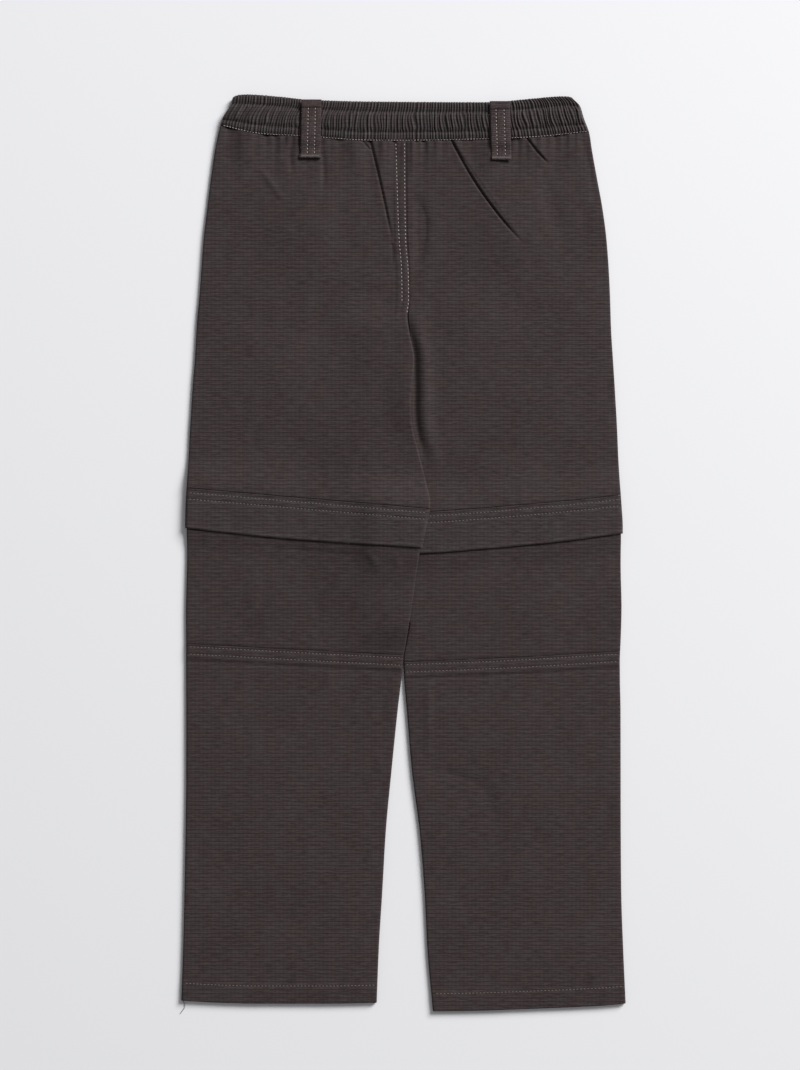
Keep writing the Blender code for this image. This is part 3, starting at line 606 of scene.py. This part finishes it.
def cloth_material(name, dark, light, rib, contrast, rib_depth, washed=None):
    """Ripstop cotton; washed gives the factors of painted shade in the grooves and of a painted
    highlight on the crests.
    """
    material, tree, shader = new_material(name, 0.88, 0.2)
    place = add_node(tree, "UVMap", {}, uv_map="cut")
    mm = scaled(tree, place.outputs["UV"], (1 / MM, 1 / MM, 1 / MM))
    strands = 0.0
    for axis, pitch, weight in (("Y", rib, 0.8), ("Y", rib / 2, 1.0), ("X", rib, 0.35)):
        strands = sum_of(tree, ribs(tree, mm, axis, pitch), weight, strands)
    slub = noise(tree, scaled(tree, mm, SLUB_SCALE), 1.0, 3.0, 0.75)
    uneven = remapped(tree, slub, 0.3, 0.7)
    yarns = sum_of(tree, uneven, SLUB_SHARE, sum_of(tree, strands, uneven))
    weave = sum_of(tree, noise(tree, mm, 1.1, 2.0, 0.6), GRAIN_SHARE, yarns)
    tone = sum_of(tree, noise(tree, mm, 0.02, 4.0, 0.6), WASH_SHARE, weave)
    share = remapped(tree, tone, MIDDLE_TONE - contrast, MIDDLE_TONE + contrast)
    colour = mixed(tree, share, linear(dark), linear(light))
    patches = remapped(tree, noise(tree, mm, 0.06, 2.0, 0.5), 0.42, 0.6, 0.0, 0.8)
    tinted = mixed(tree, patches, colour, linear(WARM), "MULTIPLY")
    # Painted shade darkens the gathers' grooves and a painted highlight lightens their crests, read
    # from the ridge height
    if washed:
        crest = add_node(tree, "UVMap", {}, uv_map="wash")
        height = add_node(tree, "SeparateXYZ", {"Vector": crest.outputs["UV"]})
        painted_shade_and_highlight = remapped(tree, height.outputs["X"], 0.1, 0.9, *washed)
        tinted = mixed(tree, 1.0, tinted, painted_shade_and_highlight, "MULTIPLY")
    tree.links.new(tinted, shader.inputs["Base Color"])
    add_bump(tree, shader, weave, rib_depth)
    shader.inputs["Sheen Weight"].default_value = 0.1
    shader.inputs["Sheen Roughness"].default_value = 0.5
    shader.inputs["Sheen Tint"].default_value = linear("b8aeae")
    return material


RIPSTOP = cloth_material("washed charcoal ripstop cotton", "272121", "473e3e", RIB, 0.6, 0.2)
BAND_CLOTH = cloth_material("ripstop cotton, doubled band", "282222", "484141", RIB, 0.6, 0.2)
# The pair (0.5, 1.6) darkens the grooves as painted shade and lightens the crests as a painted
# highlight
ELASTIC_CLOTH = cloth_material(
    "ripstop cotton gathered on elastic", "2b2626", "494343", RIB, 0.8, 0.15, (0.5, 1.6)
)
LOOP_CLOTH = cloth_material("ripstop cotton strip", "272121", "504646", RIB / 2, 0.55, 0.2)
print("cloth materials:", 4)

# %% [markdown]
# ## One function for every panel
# A panel is a grid that is stretched between two seams and two edges. The grid operator makes the
# faces once, and numpy moves all of its points together, which is much quicker than a loop.
# Columns crowd at the side edges, where the cloth turns down over the side seam. Solidify then
# gives the cloth its thickness on the inside, so the outer face stays where it was worked out.

# %% Grids, edges and cloth pieces
EDGE_CELLS = 6
EDGE_HALF_GAP = 0.12
VISIBLE_GAP = 0.12
CELLS = {
    # cells across; zones down the panel as their length in mm and their rows
    ("thigh", "back"): (184, [(104, 140), (190, 70), (20, 16)]),
    ("thigh", "front"): (50, [(110, 30), (200, 40)]),
    ("band", "back"): (150, [(12, 20), (20, 16), (2, 6)]),
    ("band", "front"): (50, [(34, 10)]),
    ("knee", "back"): (100, [(28, 6), (22, 22), (72, 36), (6, 10)]),
    ("knee", "front"): (50, [(128, 34)]),
    ("shin", "back"): (100, [(20, 34), (262, 84), (20, 26)]),
    ("shin", "front"): (50, [(20, 10), (262, 50), (20, 10)]),
}


def open_grid(name, across_cells, down_cells):
    """A grid's mesh, with each point's column and row."""
    mesh = bpy.data.meshes.new(name)
    surface = bmesh.new()
    bmesh.ops.create_grid(surface, x_segments=across_cells, y_segments=down_cells, size=1.0)
    surface.to_mesh(mesh)
    surface.free()
    flat = np.zeros(len(mesh.vertices) * 3)
    mesh.vertices.foreach_get("co", flat)
    flat = flat.reshape(-1, 3)
    column = np.rint((flat[:, 0] + 1) / 2 * across_cells).astype(int)
    row = np.rint((1 - flat[:, 1]) / 2 * down_cells).astype(int)
    return mesh, column, row


def lay_uv(mesh, name, places):
    """A UV map from one pair of numbers for each point."""
    layer = mesh.uv_layers.new(name=name)
    corners = np.zeros(len(mesh.loops), int)
    mesh.loops.foreach_get("vertex_index", corners)
    layer.uv.foreach_set("vector", places[corners].ravel())


def add_cloth(name, mesh, points, cut, material, wall, faces_up):
    """Places a grid's points, given in mm, lays its UV map from the flat cut and adds the wall."""
    mesh.vertices.foreach_set("co", (points * MM).ravel())
    mesh.update()
    if (sum(face.normal.z for face in mesh.polygons[:400]) > 0) != faces_up:
        mesh.flip_normals()
    lay_uv(mesh, "cut", cut * MM)
    mesh.materials.append(material)
    mesh.shade_smooth()
    piece = placed(name, mesh)
    thickness = piece.modifiers.new("cloth wall", "SOLIDIFY")
    thickness.thickness = wall * MM
    thickness.offset = -1.0
    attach(piece, "root")
    return piece


def edge_columns(cells, run):
    """Share of the way in, offset in mm, offset where the edge is flat, and rise of each column."""
    angle = np.linspace(0, math.pi / 2, EDGE_CELLS + 1)
    bent, flat, rise = run * (1 - np.cos(angle)), run * angle / angle[-1], np.sin(angle)
    share = np.arange(1, cells) / cells
    middle = between(run, -run, share)
    ones, zeros = np.ones(EDGE_CELLS + 1), np.zeros(EDGE_CELLS + 1)
    return np.stack([
        np.concatenate([zeros, share, ones]),
        np.concatenate([bent, middle, -bent[::-1]]),
        np.concatenate([flat, middle, -flat[::-1]]),
        np.concatenate([rise, np.ones(cells - 1), rise[::-1]]),
    ])


def row_shares(zones):
    """Rows as shares of the way down, from zones of a panel's length with their own row counts."""
    shares, start = [np.zeros(1)], 0.0
    for length, count in zones:
        shares.append(start + length * np.arange(1, count + 1) / count)
        start += length
    return np.concatenate(shares) / start


def inset_of(part, leg, height):
    """The knee panel is a little narrower inside the band and gets its full width below it."""
    if part != "knee":
        return np.zeros_like(height)
    below_band = SEAMS[leg + " band edge"](0.0) - height
    return COVER_INSET * (1 - ease(below_band / INSET_FADE))


def panel_plan(part, leg, columns, row_share, row_drop, lines):
    """Where a panel's points lie in plan, and how far each has turned over an edge."""
    top_line, foot_line = lines
    share, bent, flat, rise = (value[None, :] for value in columns)
    down, drop = row_share[:, None], row_drop[:, None]
    height = between(top_line(0.0), foot_line(0.0), down) - drop + 0 * share
    for _ in range(6):
        inset = inset_of(part, leg, height)
        start = EDGES[leg + "_side"](height) + INWARDS[leg] * inset
        end = EDGES[leg + "_inner"](height) - INWARDS[leg] * (VISIBLE_GAP / 2 + inset)
        round_now = np.where(share == 1.0, falling(height, ROUND_STARTS), 1.0)
        across = between(start, end, share) + INWARDS[leg] * between(flat, bent, round_now)
        height = between(top_line(across), foot_line(across), down) - drop
    return across, height, between(1.0, rise, round_now)


def add_panel(name, part, leg, facing, lines, material, run):
    """One panel of cloth as a thin shell over its solid's form."""
    across_cells, zones = CELLS[part, facing]
    columns = edge_columns(across_cells, run)
    row_share = row_shares(zones)
    row_drop = np.zeros(len(row_share))
    row_drop[0] = VISIBLE_GAP / 2
    row_drop[-1] = 0.0 if part in ("band", "shin") else -VISIBLE_GAP / 2
    across, height, turned = panel_plan(part, leg, columns, row_share, row_drop, lines)
    low, high = stacks(part, leg, across, height)
    middle = (low + high) / 2
    if facing == "back":
        outer = high + (top_of(part, leg, across, height) - high) * turned
        up = between(middle + EDGE_HALF_GAP, outer, turned)
    else:
        hollow = np.maximum(-sewn(part, leg, across, height), 0.0)
        hollow += 0.12 * (1 + np.sin(across / 15.0 + np.sin(height / 33.0)))
        up = between(middle - EDGE_HALF_GAP, low + hollow * turned, turned)
    mesh, column, row = open_grid(name, len(columns[0]) - 1, len(row_share) - 1)
    points = np.stack([across, height, up], axis=-1)[row, column]
    return add_cloth(name, mesh, points, points[:, :2], material, CLOTH_WALL, facing == "back")


# %% [markdown]
# ## Thighs, bands, knees and shins
# The maker's pieces, each as its own object: the back halves get close grids because every crease
# shows on them, and the front halves, which lie on the table, get wider ones.

# %% Make the panels of both legs
PART_WORDS = {"thigh": "thigh", "band": "flap", "knee": "knee", "shin": "shin"}
pieces = {}
for leg in ("left", "right"):
    seam, edge = SEAMS[leg + " band seam"], SEAMS[leg + " band edge"]
    knee, hem = SEAMS[leg + " knee seam"], SEAMS[leg + " hem"]
    under_band = lambda across, seam=seam: seam(across) - COVER_REACH
    spans = {
        "thigh": ((SEAMS["waist seam"], seam), FLAT_STACK / 2, RIPSTOP),
        "band": ((seam, edge), BAND_STACK / 2, BAND_CLOTH),
        "knee": ((under_band, knee), COVER_RUN, RIPSTOP),
        "shin": ((knee, hem), FLAT_STACK / 2, RIPSTOP),
    }
    for part, (lines, run, material) in spans.items():
        for facing in ("back", "front"):
            node = f"{PART_WORDS[part]}_{facing}_{leg}"
            piece = add_panel("cloth_" + node, part, leg, facing, lines, material, run)
            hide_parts(node)
            pieces[node] = piece
print("panels:", len(pieces))

# %% [markdown]
# ## The gathered waistband
# Elastic pulls a wide strip together, so the cloth stands up in narrow ridges that two stitched
# rows pinch flat. Real gathers are uneven: they lean, merge and change height. The ridges follow
# a phase that wanders along the band, and the cloth's own UV map is wider than the band, since
# more cloth lies in it than it is long. Light on the ridges alone shows them too faintly, so a
# second UV map holds their height, and the material paints shade into the grooves and paints a
# highlight onto the crests.
# Those factors are fitted to the photo's tones and aren't measured from cloth.

# %% Waistband, back and front
BAND_WALL, BAND_GAP, BAND_TURN = 1.3, 1.8, 3.0
BAND_TOP = 2 * BAND_WALL + BAND_GAP
GATHERS = 120
GATHER_FULLNESS = 1.35
UPPER_ROW, LOWER_ROW = 0.25, 0.78
CORNER_RADIUS = 2.2
PLAIN_PATCH = (-4.8, 5.5)
PRESSED_AT, PRESSED_HALF_WIDTH = (-78.2, 82.0), 9.5
BAND_PROFILE = smooth_line([
    # share of the way down, rise in mm
    (0.0, -0.5), (0.03, 0.2), (0.08, 0.5), (0.16, 0.45), (0.22, 0.1), (0.25, -0.35), (0.28, 0.1),
    (0.36, 0.6), (0.5, 0.75), (0.66, 0.6), (0.74, 0.1), (0.78, -0.35), (0.82, 0.1), (0.9, 0.25),
    (1.0, -0.5),
])
GATHER_PROFILE = smooth_line([
    # share of the way down, height of the ridges in mm
    (0.0, 0.7), (0.06, 1.4), (0.18, 1.4), (0.25, 0.9), (0.31, 1.6), (0.45, 2.1), (0.6, 2.1),
    (0.72, 1.6), (0.78, 0.9), (0.84, 1.5), (0.92, 1.3), (1.0, 0.3),
])


def gather_ridges(along, down):
    """Height of the gathers, 0 to 1, along the band and down it."""
    wander = 0.35 * np.sin(along * 41.0) + 0.16 * np.sin(along * 97.0 + 1.0)
    wander += 0.09 * np.sin(along * 230.0) + 0.04 * np.sin(along * 511.0 + 2.0)
    middle_zone = ease((down - 0.25) / 0.12) * (1 - ease((down - 0.66) / 0.12))
    lean = 0.25 * np.sin(4.0 * down + along * 61.0) + 0.1 * np.sin(7.0 * down + along * 143.0)
    phase = GATHERS * along + wander + middle_zone * lean
    rounded = np.sin(math.pi * phase) ** 2
    merged = np.sin(math.pi * (0.5 * phase + 0.2 * np.sin(along * 53.0 + 1.5 * down))) ** 2
    uneven = 0.78 + 0.14 * np.sin(along * 317.0 + 2.0 * np.sin(along * 71.0))
    uneven = uneven + 0.12 * np.sin(along * 139.0 + 3.0 * down)
    return uneven * between(rounded, 0.45 * rounded + 0.7 * merged, 0.6 * middle_zone)


def waistband_plan(cells_across, cells_down):
    columns = edge_columns(cells_across, BAND_TURN)
    share, bent, _, rise = (value[None, :] for value in columns)
    down = np.linspace(0, 1, cells_down + 1)[:, None]
    edge, seam = SEAMS["waist edge"], SEAMS["waist seam"]
    height = between(edge(0.0), seam(0.0), down) + 0 * share
    for _ in range(6):
        across = between(EDGES["left_side"](height), EDGES["right_side"](height), share) + bent
        height = between(edge(across), seam(across) + SEAM_GAP / 2, down)
    from_left = across - EDGES["left_side"](height)
    from_right = EDGES["right_side"](height) - across
    corner = np.exp(-np.minimum(from_left, from_right) / CORNER_RADIUS)
    height = height - CORNER_RADIUS * corner * (1 - ease(down / 0.3))
    return across, height, from_left / (from_left + from_right), down + 0 * share, rise + 0 * down


def waistband_top(across, along, down):
    plain = np.exp(-(((across - PLAIN_PATCH[0]) / PLAIN_PATCH[1]) ** 2)) * ease((down - 0.76) / 0.06)
    ridges = gather_ridges(along, down) * GATHER_PROFILE(down) * (1 - 0.9 * plain)
    for middle in PRESSED_AT:
        ridges = ridges * (1 - 0.7 * np.exp(-(((across - middle) / PRESSED_HALF_WIDTH) ** 8)))
    return BAND_TOP + BAND_PROFILE(down) + ridges


def add_waistband(facing, cells_across, cells_down):
    name = "waistband_" + facing
    across, height, along, down, rise = waistband_plan(cells_across, cells_down)
    middle = BAND_TOP / 2
    if facing == "back":
        scallop = 0.35 * gather_ridges(along, down) * (1 - ease(down / 0.05))
        height = height + scallop
        up = between(middle + EDGE_HALF_GAP, waistband_top(across, along, down), rise)
    else:
        lift = 0.75 * (1 - gather_ridges(along, down)) + 0.3 * (1 - ease(down / 0.06))
        up = between(middle - EDGE_HALF_GAP, lift, rise)
    mesh, column, row = open_grid("cloth_" + name, across.shape[1] - 1, cells_down)
    points = np.stack([across, height, up], axis=-1)[row, column]
    cut = points[:, :2] * (GATHER_FULLNESS, 1.0)
    piece = add_cloth("cloth_" + name, mesh, points, cut, ELASTIC_CLOTH, 0.9, facing == "back")
    # The ridge height, which the material turns into painted shade in the grooves and a painted
    # highlight on the crests
    crest = gather_ridges(along, down)[row, column]
    lay_uv(mesh, "wash", np.stack([crest, crest], axis=-1))
    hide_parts(name)
    pieces[name] = piece


add_waistband("back", 720, 36)
add_waistband("front", 400, 16)
print("gathers:", GATHERS)

# %% [markdown]
# ## Belt loops
# A loop is a folded strip that runs from the waistband's edge, over the seam, onto the seat. Its
# top is folded back and its foot is held by a bar tack, so both ends are thicker than the middle.

# %% Two belt loops
LOOP_WIDTH, LOOP_WALL, LOOP_FOLD, LOOP_TACK = 17.0, 1.1, 6.8, 3.2
BAND_CLEAR = BAND_TOP + 1.9
LOOPS = [
    # name, leg, across and height of the top, across and height of the foot, its two rows
    ("belt_loop_left", "left", -77.8, 384.0, -79.0, 334.7, (-2.6, 3.4)),
    ("belt_loop_right", "right", 81.5, 382.6, 83.1, 333.2, (-3.4, 3.4)),
]


def loop_surface(loop, down, side):
    """Across, height and upper surface of a loop at a distance down it and to its side, in mm."""
    _, leg, top_x, top_y, foot_x, foot_y, _ = loop
    length = top_y - foot_y
    height = top_y - down
    across = between(top_x, foot_x, down / length) + side
    band_foot = SEAMS["waist seam"](foot_x)
    settled = ease((band_foot - 1.5 - height) / 9.0)
    under_height = np.minimum(height, band_foot - 1.0) + 0 * side
    seat = top_of("thigh", leg, np.full_like(side, foot_x), under_height) + 0.5
    up = between(BAND_CLEAR, seat, settled) + SEAM_GAP + LOOP_WALL
    up = up + 0.8 * (1 - ease((down - LOOP_FOLD + 0.8) / 0.8))
    up = up + 0.5 * ease((down - length + LOOP_TACK + 0.5) / 0.5)
    edge = np.clip((np.abs(side) - LOOP_WIDTH / 2 + 1.2) / 1.2, 0, 1)
    up = up - 0.55 * edge**2 + 0.12 * (1 - (side / (LOOP_WIDTH / 2)) ** 2)
    end = np.clip(1 - (length - down) / 0.7, 0, 1)
    return across, height, up - 0.5 * end**2


def add_loop(loop):
    name, rows = loop[0], loop[6]
    length = loop[3] - loop[5]
    cells = (34, 110)
    mesh, column, row = open_grid("cloth_" + name, *cells)
    down = length * row / cells[1]
    flare = 1 + 0.09 * ease((down - length + LOOP_TACK + 1.0) / 1.0) * (name == "belt_loop_left")
    side = (column / cells[0] - 0.5) * LOOP_WIDTH * flare
    across, height, up = loop_surface(loop, down, side)
    for row_side in rows:
        up = up + pulled(side - row_side, down) * (down > LOOP_FOLD)
    up = up + 0.05 * np.sin(down * 1.9 + side) + 0.05 * np.sin(side * 2.3 + down * 0.4)
    points = np.stack([across, height, up], axis=-1)
    piece = add_cloth("cloth_" + name, mesh, points, points[:, :2], LOOP_CLOTH, LOOP_WALL, True)
    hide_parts(name)
    pieces[name] = piece


for loop in LOOPS:
    add_loop(loop)
print("belt loops:", len(LOOPS))

# %% [markdown]
# ## Thread
# Sewing thread is a twisted, slightly shiny polyester. Each stitch is one short bead, pressed
# into the cloth at both ends. Hundreds of them are copied into one mesh for each kind of row, so
# the scene stays light. Real thread is 0.4 mm thick. It is drawn at 0.75 mm, as a thinner one
# would vanish between the picture's pixels.

# %% Thread material and stitches
def thread_material(name, dark, light):
    material, tree, shader = new_material(name, 0.6, 0.4)
    place = add_node(tree, "TexCoord", {})
    inputs = {"Scale": 900.0, "Detail": 2.0, "Vector": place.outputs["Object"]}
    fibre = add_node(tree, "TexNoise", inputs).outputs["Fac"]
    tint = mixed(tree, fibre, linear(dark), linear(light))
    tree.links.new(tint, shader.inputs["Base Color"])
    add_bump(tree, shader, fibre, 0.1)
    return material


PALE_THREAD = thread_material("pale grey polyester thread", "8f8583", "bfb3ac")
TONAL_THREAD = thread_material("charcoal polyester thread", "564d4c", "796e6c")
DARK_THREAD = thread_material("dark grey polyester thread", "2f2a29", "4a4342")
THREAD_WIDTH, THREAD_HEIGHT, HALF_STITCH = 0.75, 0.5, 0.8


def bead():
    """The points and faces of one stitch, along X and one unit long, wide and high."""
    shape = bmesh.new()
    bmesh.ops.create_uvsphere(shape, u_segments=6, v_segments=4, radius=0.5)
    quarter_turn = Matrix.Rotation(math.pi / 2, 3, "Y")
    bmesh.ops.rotate(shape, verts=shape.verts, matrix=quarter_turn, cent=(0, 0, 0))
    bmesh.ops.triangulate(shape, faces=shape.faces)
    points = np.array([tuple(vertex.co) for vertex in shape.verts])
    faces = np.array([[vertex.index for vertex in face.verts] for face in shape.faces])
    shape.free()
    return points, faces


BEAD_POINTS, BEAD_FACES = bead()


def add_stitches(name, runs, material, length=1.9, width=THREAD_WIDTH):
    """One mesh of beads: runs is a list of rows, each an array of stitch middles and directions."""
    middles = np.concatenate([run[0] for run in runs])
    ways = np.concatenate([run[1] for run in runs])
    ways = ways / np.linalg.norm(ways, axis=1)[:, None]
    sideways = np.cross(np.array([0.0, 0.0, 1.0]), ways)
    sideways /= np.linalg.norm(sideways, axis=1)[:, None]
    upwards = np.cross(ways, sideways)
    local = BEAD_POINTS * (length, width, THREAD_HEIGHT)
    points = (
        middles[:, None, :] + local[None, :, 0:1] * ways[:, None, :]
        + local[None, :, 1:2] * sideways[:, None, :] + local[None, :, 2:3] * upwards[:, None, :]
    ).reshape(-1, 3)
    faces = BEAD_FACES[None] + (np.arange(len(middles)) * len(BEAD_POINTS))[:, None, None]
    mesh = bpy.data.meshes.new(name)
    mesh.from_pydata((points * MM).tolist(), [], faces.reshape(-1, 3).tolist())
    mesh.update()
    mesh.materials.append(material)
    mesh.shade_smooth()
    piece = placed(name, mesh)
    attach(piece, "root")
    return piece


def row_along(across, height, surface, pitch=STITCH_PITCH):
    """Stitch middles at equal steps along a row in plan, lying on a surface, and their ways."""
    steps = np.hypot(np.diff(across), np.diff(height))
    length = np.concatenate([[0], np.cumsum(steps)])
    at = np.arange(pitch / 2, length[-1], pitch)
    places = []
    for step in (-HALF_STITCH, 0.0, HALF_STITCH):
        x, y = (np.interp(at + step, length, line) for line in (across, height))
        places.append(np.stack([x, y, surface(x, y)], axis=-1))
    return places[1], places[2] - places[0]


def cross_row(leg, part, line, distance, facing="back", ends=2.5):
    """A row that follows a seam across one leg, on its back or under its front."""
    y = line(0.0)
    start = EDGES[leg + "_side"](line(EDGES[leg + "_side"](y)) - distance)
    stop = EDGES[leg + "_inner"](line(EDGES[leg + "_inner"](y)) - distance)
    across = np.linspace(start + INWARDS[leg] * ends, stop - INWARDS[leg] * ends, 160)
    height = line(across) - distance
    if facing == "back":
        return row_along(across, height, lambda x, y: top_of(part, leg, x, y) + 0.1)
    return row_along(across, height, lambda x, y: stacks(part, leg, x, y)[0] + 0.22)


band_runs, knee_runs, hem_runs, under_runs = [], [], [], []
for leg in ("left", "right"):
    seam, knee, hem = SEAMS[leg + " band seam"], SEAMS[leg + " knee seam"], SEAMS[leg + " hem"]
    for row in BAND_ROWS:
        band_runs.append(cross_row(leg, "band", seam, row))
        under_runs.append(cross_row(leg, "band", seam, row, "front"))
    for row in KNEE_ROWS:
        knee_runs.append(cross_row(leg, "shin", knee, row))
        under_runs.append(cross_row(leg, "shin", knee, row, "front"))
    hem_runs.append(cross_row(leg, "shin", hem, -HEM_ROW))
    under_runs.append(cross_row(leg, "shin", hem, -HEM_ROW, "front"))
add_stitches("thread_bands", band_runs, TONAL_THREAD)
add_stitches("thread_knees", knee_runs, TONAL_THREAD)
add_stitches("thread_hems", hem_runs, TONAL_THREAD, length=2.2)
add_stitches("thread_under", under_runs, TONAL_THREAD)

fell_runs = []
for row, lowest in zip(FELL_ROWS, (202.0, 212.0)):
    height = np.linspace(348.0, lowest, 120)
    across = EDGES["left_inner"](height) - row(height)
    fell_runs.append(
        row_along(across, height, lambda x, y: top_of("thigh", "left", x, y) + 0.16, 3.3)
    )
add_stitches("thread_seat", fell_runs, PALE_THREAD, length=1.7)


def band_surface(across, height):
    """The gathered band's upper surface under a stitch."""
    edge, seam = SEAMS["waist edge"](across), SEAMS["waist seam"](across)
    down = np.clip((edge - height) / (edge - seam), 0, 1)
    side, other = EDGES["left_side"](height), EDGES["right_side"](height)
    return waistband_top(across, (across - side) / (other - side), down)


across = np.linspace(-153.0, 156.0, 300)
edge, seam = SEAMS["waist edge"](across), SEAMS["waist seam"](across)
waist_run = row_along(across, seam + 0.8, lambda x, y: band_surface(x, y) + 0.1, 2.5)
add_stitches("thread_waist", [waist_run], PALE_THREAD, length=1.8, width=0.6)
band_rows = []
for down in (UPPER_ROW, LOWER_ROW):
    row_height = between(edge, seam, down)
    inside = across > EDGES["left_side"](row_height) + 2.5
    inside &= across < EDGES["right_side"](row_height) - 2.5
    surface = lambda x, y: band_surface(x, y) + 0.1
    band_rows.append(row_along(across[inside], row_height[inside], surface, 2.5))
add_stitches("thread_elastic", band_rows, DARK_THREAD, length=1.3, width=0.5)

loop_runs, tack_runs = [], []
for loop in LOOPS:
    length = loop[3] - loop[5]
    for row_side in loop[6]:
        down = np.arange(LOOP_FOLD + 1.0, length - LOOP_TACK - 0.6, STITCH_PITCH)
        side = np.full(down.shape, row_side)
        place, ahead = (
            np.stack(loop_surface(loop, down + step, side), axis=-1) for step in (0.0, 0.5)
        )
        loop_runs.append((place, ahead - place))
    side = np.arange(-7.6, 7.7, 0.62)
    down = np.full(side.shape, length - LOOP_TACK / 2 - 0.2)
    place = np.stack(loop_surface(loop, down, side), axis=-1)
    tack_runs.append((place, np.tile([0.25, 1.0, 0.0], (len(side), 1))))
add_stitches("thread_loops", loop_runs, PALE_THREAD, length=1.6)
add_stitches("thread_tacks", tack_runs, TONAL_THREAD, length=2.2, width=0.55)

THREAD_END = smooth_line([(-379.1, -187.6), (-385.0, -185.8), (-391.5, -189.6)])
loose_height = np.linspace(-379.1, -391.5, 40)
loose_end = row_along(THREAD_END(loose_height), loose_height, lambda x, y: 0.5 + 0 * x, 0.45)
add_stitches("thread_loose_end", [loose_end], DARK_THREAD, length=0.8, width=0.4)

# %% [markdown]
# ## What the cloth is
# Each piece's cut size is listed as a sheet's width, length and flat area, which the loop below
# reads but doesn't apply to the pieces. The thigh panels are not rectangles, so their flat area
# is given too, and the waistband is wider flat than gathered. Its fullness, 1.35, is about what
# the back half's ridges hold. The real one may be nearer 1.6, and the hidden front half is
# modelled flatter than its cut.

CUTS = {
    # width, length and flat area of one cut piece, in metres and square metres
    "thigh": (0.205, 0.330, 0.0585), "flap": (0.208, 0.037, 0.0072),
    "knee": (0.205, 0.136, 0.0255), "shin": (0.190, 0.306, 0.0545),
}
for node, piece in pieces.items():
    word = node.split("_")[0]
    if word in CUTS:
        width, length, area = CUTS[word]
print("sheets:", len(pieces))

# %% [markdown]
# ## Table and light
# The table is a plain pale sheet. One large soft lamp stands far off beyond the right of the
# waist, and the surroundings fill the shadows. A second lamp could stand opposite, but the
# gathers and creases show best under one.

# %% Stage and lights
FLOOR_SIZE, FLOOR_DROP = 6.0, 0.2 * MM
LAMP_PLACE, LAMP_SIZE, LAMP_POWER = (4.8, 4.8, 4.2), 3.6, 890.0
floor_mesh = bpy.data.meshes.new("table")
floor_shape = bmesh.new()
bmesh.ops.create_grid(floor_shape, x_segments=1, y_segments=1, size=FLOOR_SIZE / 2)
bmesh.ops.translate(floor_shape, verts=floor_shape.verts, vec=(0.0, 0.0, -FLOOR_DROP))
floor_shape.to_mesh(floor_mesh)
floor_shape.free()
floor = placed("table", floor_mesh)
paper, _, paper_shader = new_material("matt white paper", 0.9, 0.2)
paper_shader.inputs["Base Color"].default_value = linear("f1f1f3")
floor_mesh.materials.append(paper)

world = bpy.data.worlds.new("bright studio")
bpy.context.scene.world = world
world.use_nodes = True
sky = world.node_tree.nodes["Background"]
sky.inputs["Color"].default_value = linear("f4f4f8")
sky.inputs["Strength"].default_value = 0.26


def add_lamp(name, place, target, size, power):
    data = bpy.data.lights.new(name, "AREA")
    data.shape = "SQUARE"
    data.size = size
    data.energy = power
    lamp = placed(name, data)
    lamp.location = place
    lamp.rotation_euler = (Vector(target) - Vector(place)).to_track_quat("-Z", "Y").to_euler()
    return lamp


add_lamp("large soft lamp, waist side", LAMP_PLACE, (0.0, 0.0, 0.0), LAMP_SIZE, LAMP_POWER)
bpy.context.scene.view_settings.view_transform = "Standard"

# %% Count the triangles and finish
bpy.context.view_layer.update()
worked_out = bpy.context.evaluated_depsgraph_get()
counts = {}
for piece in bpy.context.scene.objects:
    if piece.type == "MESH":
        shape = piece.evaluated_get(worked_out).to_mesh()
        counts[piece.name] = sum(len(face.vertices) - 2 for face in shape.polygons)
print("triangles:", sum(counts.values()), "in all and", max(counts.values()), "in the largest piece")
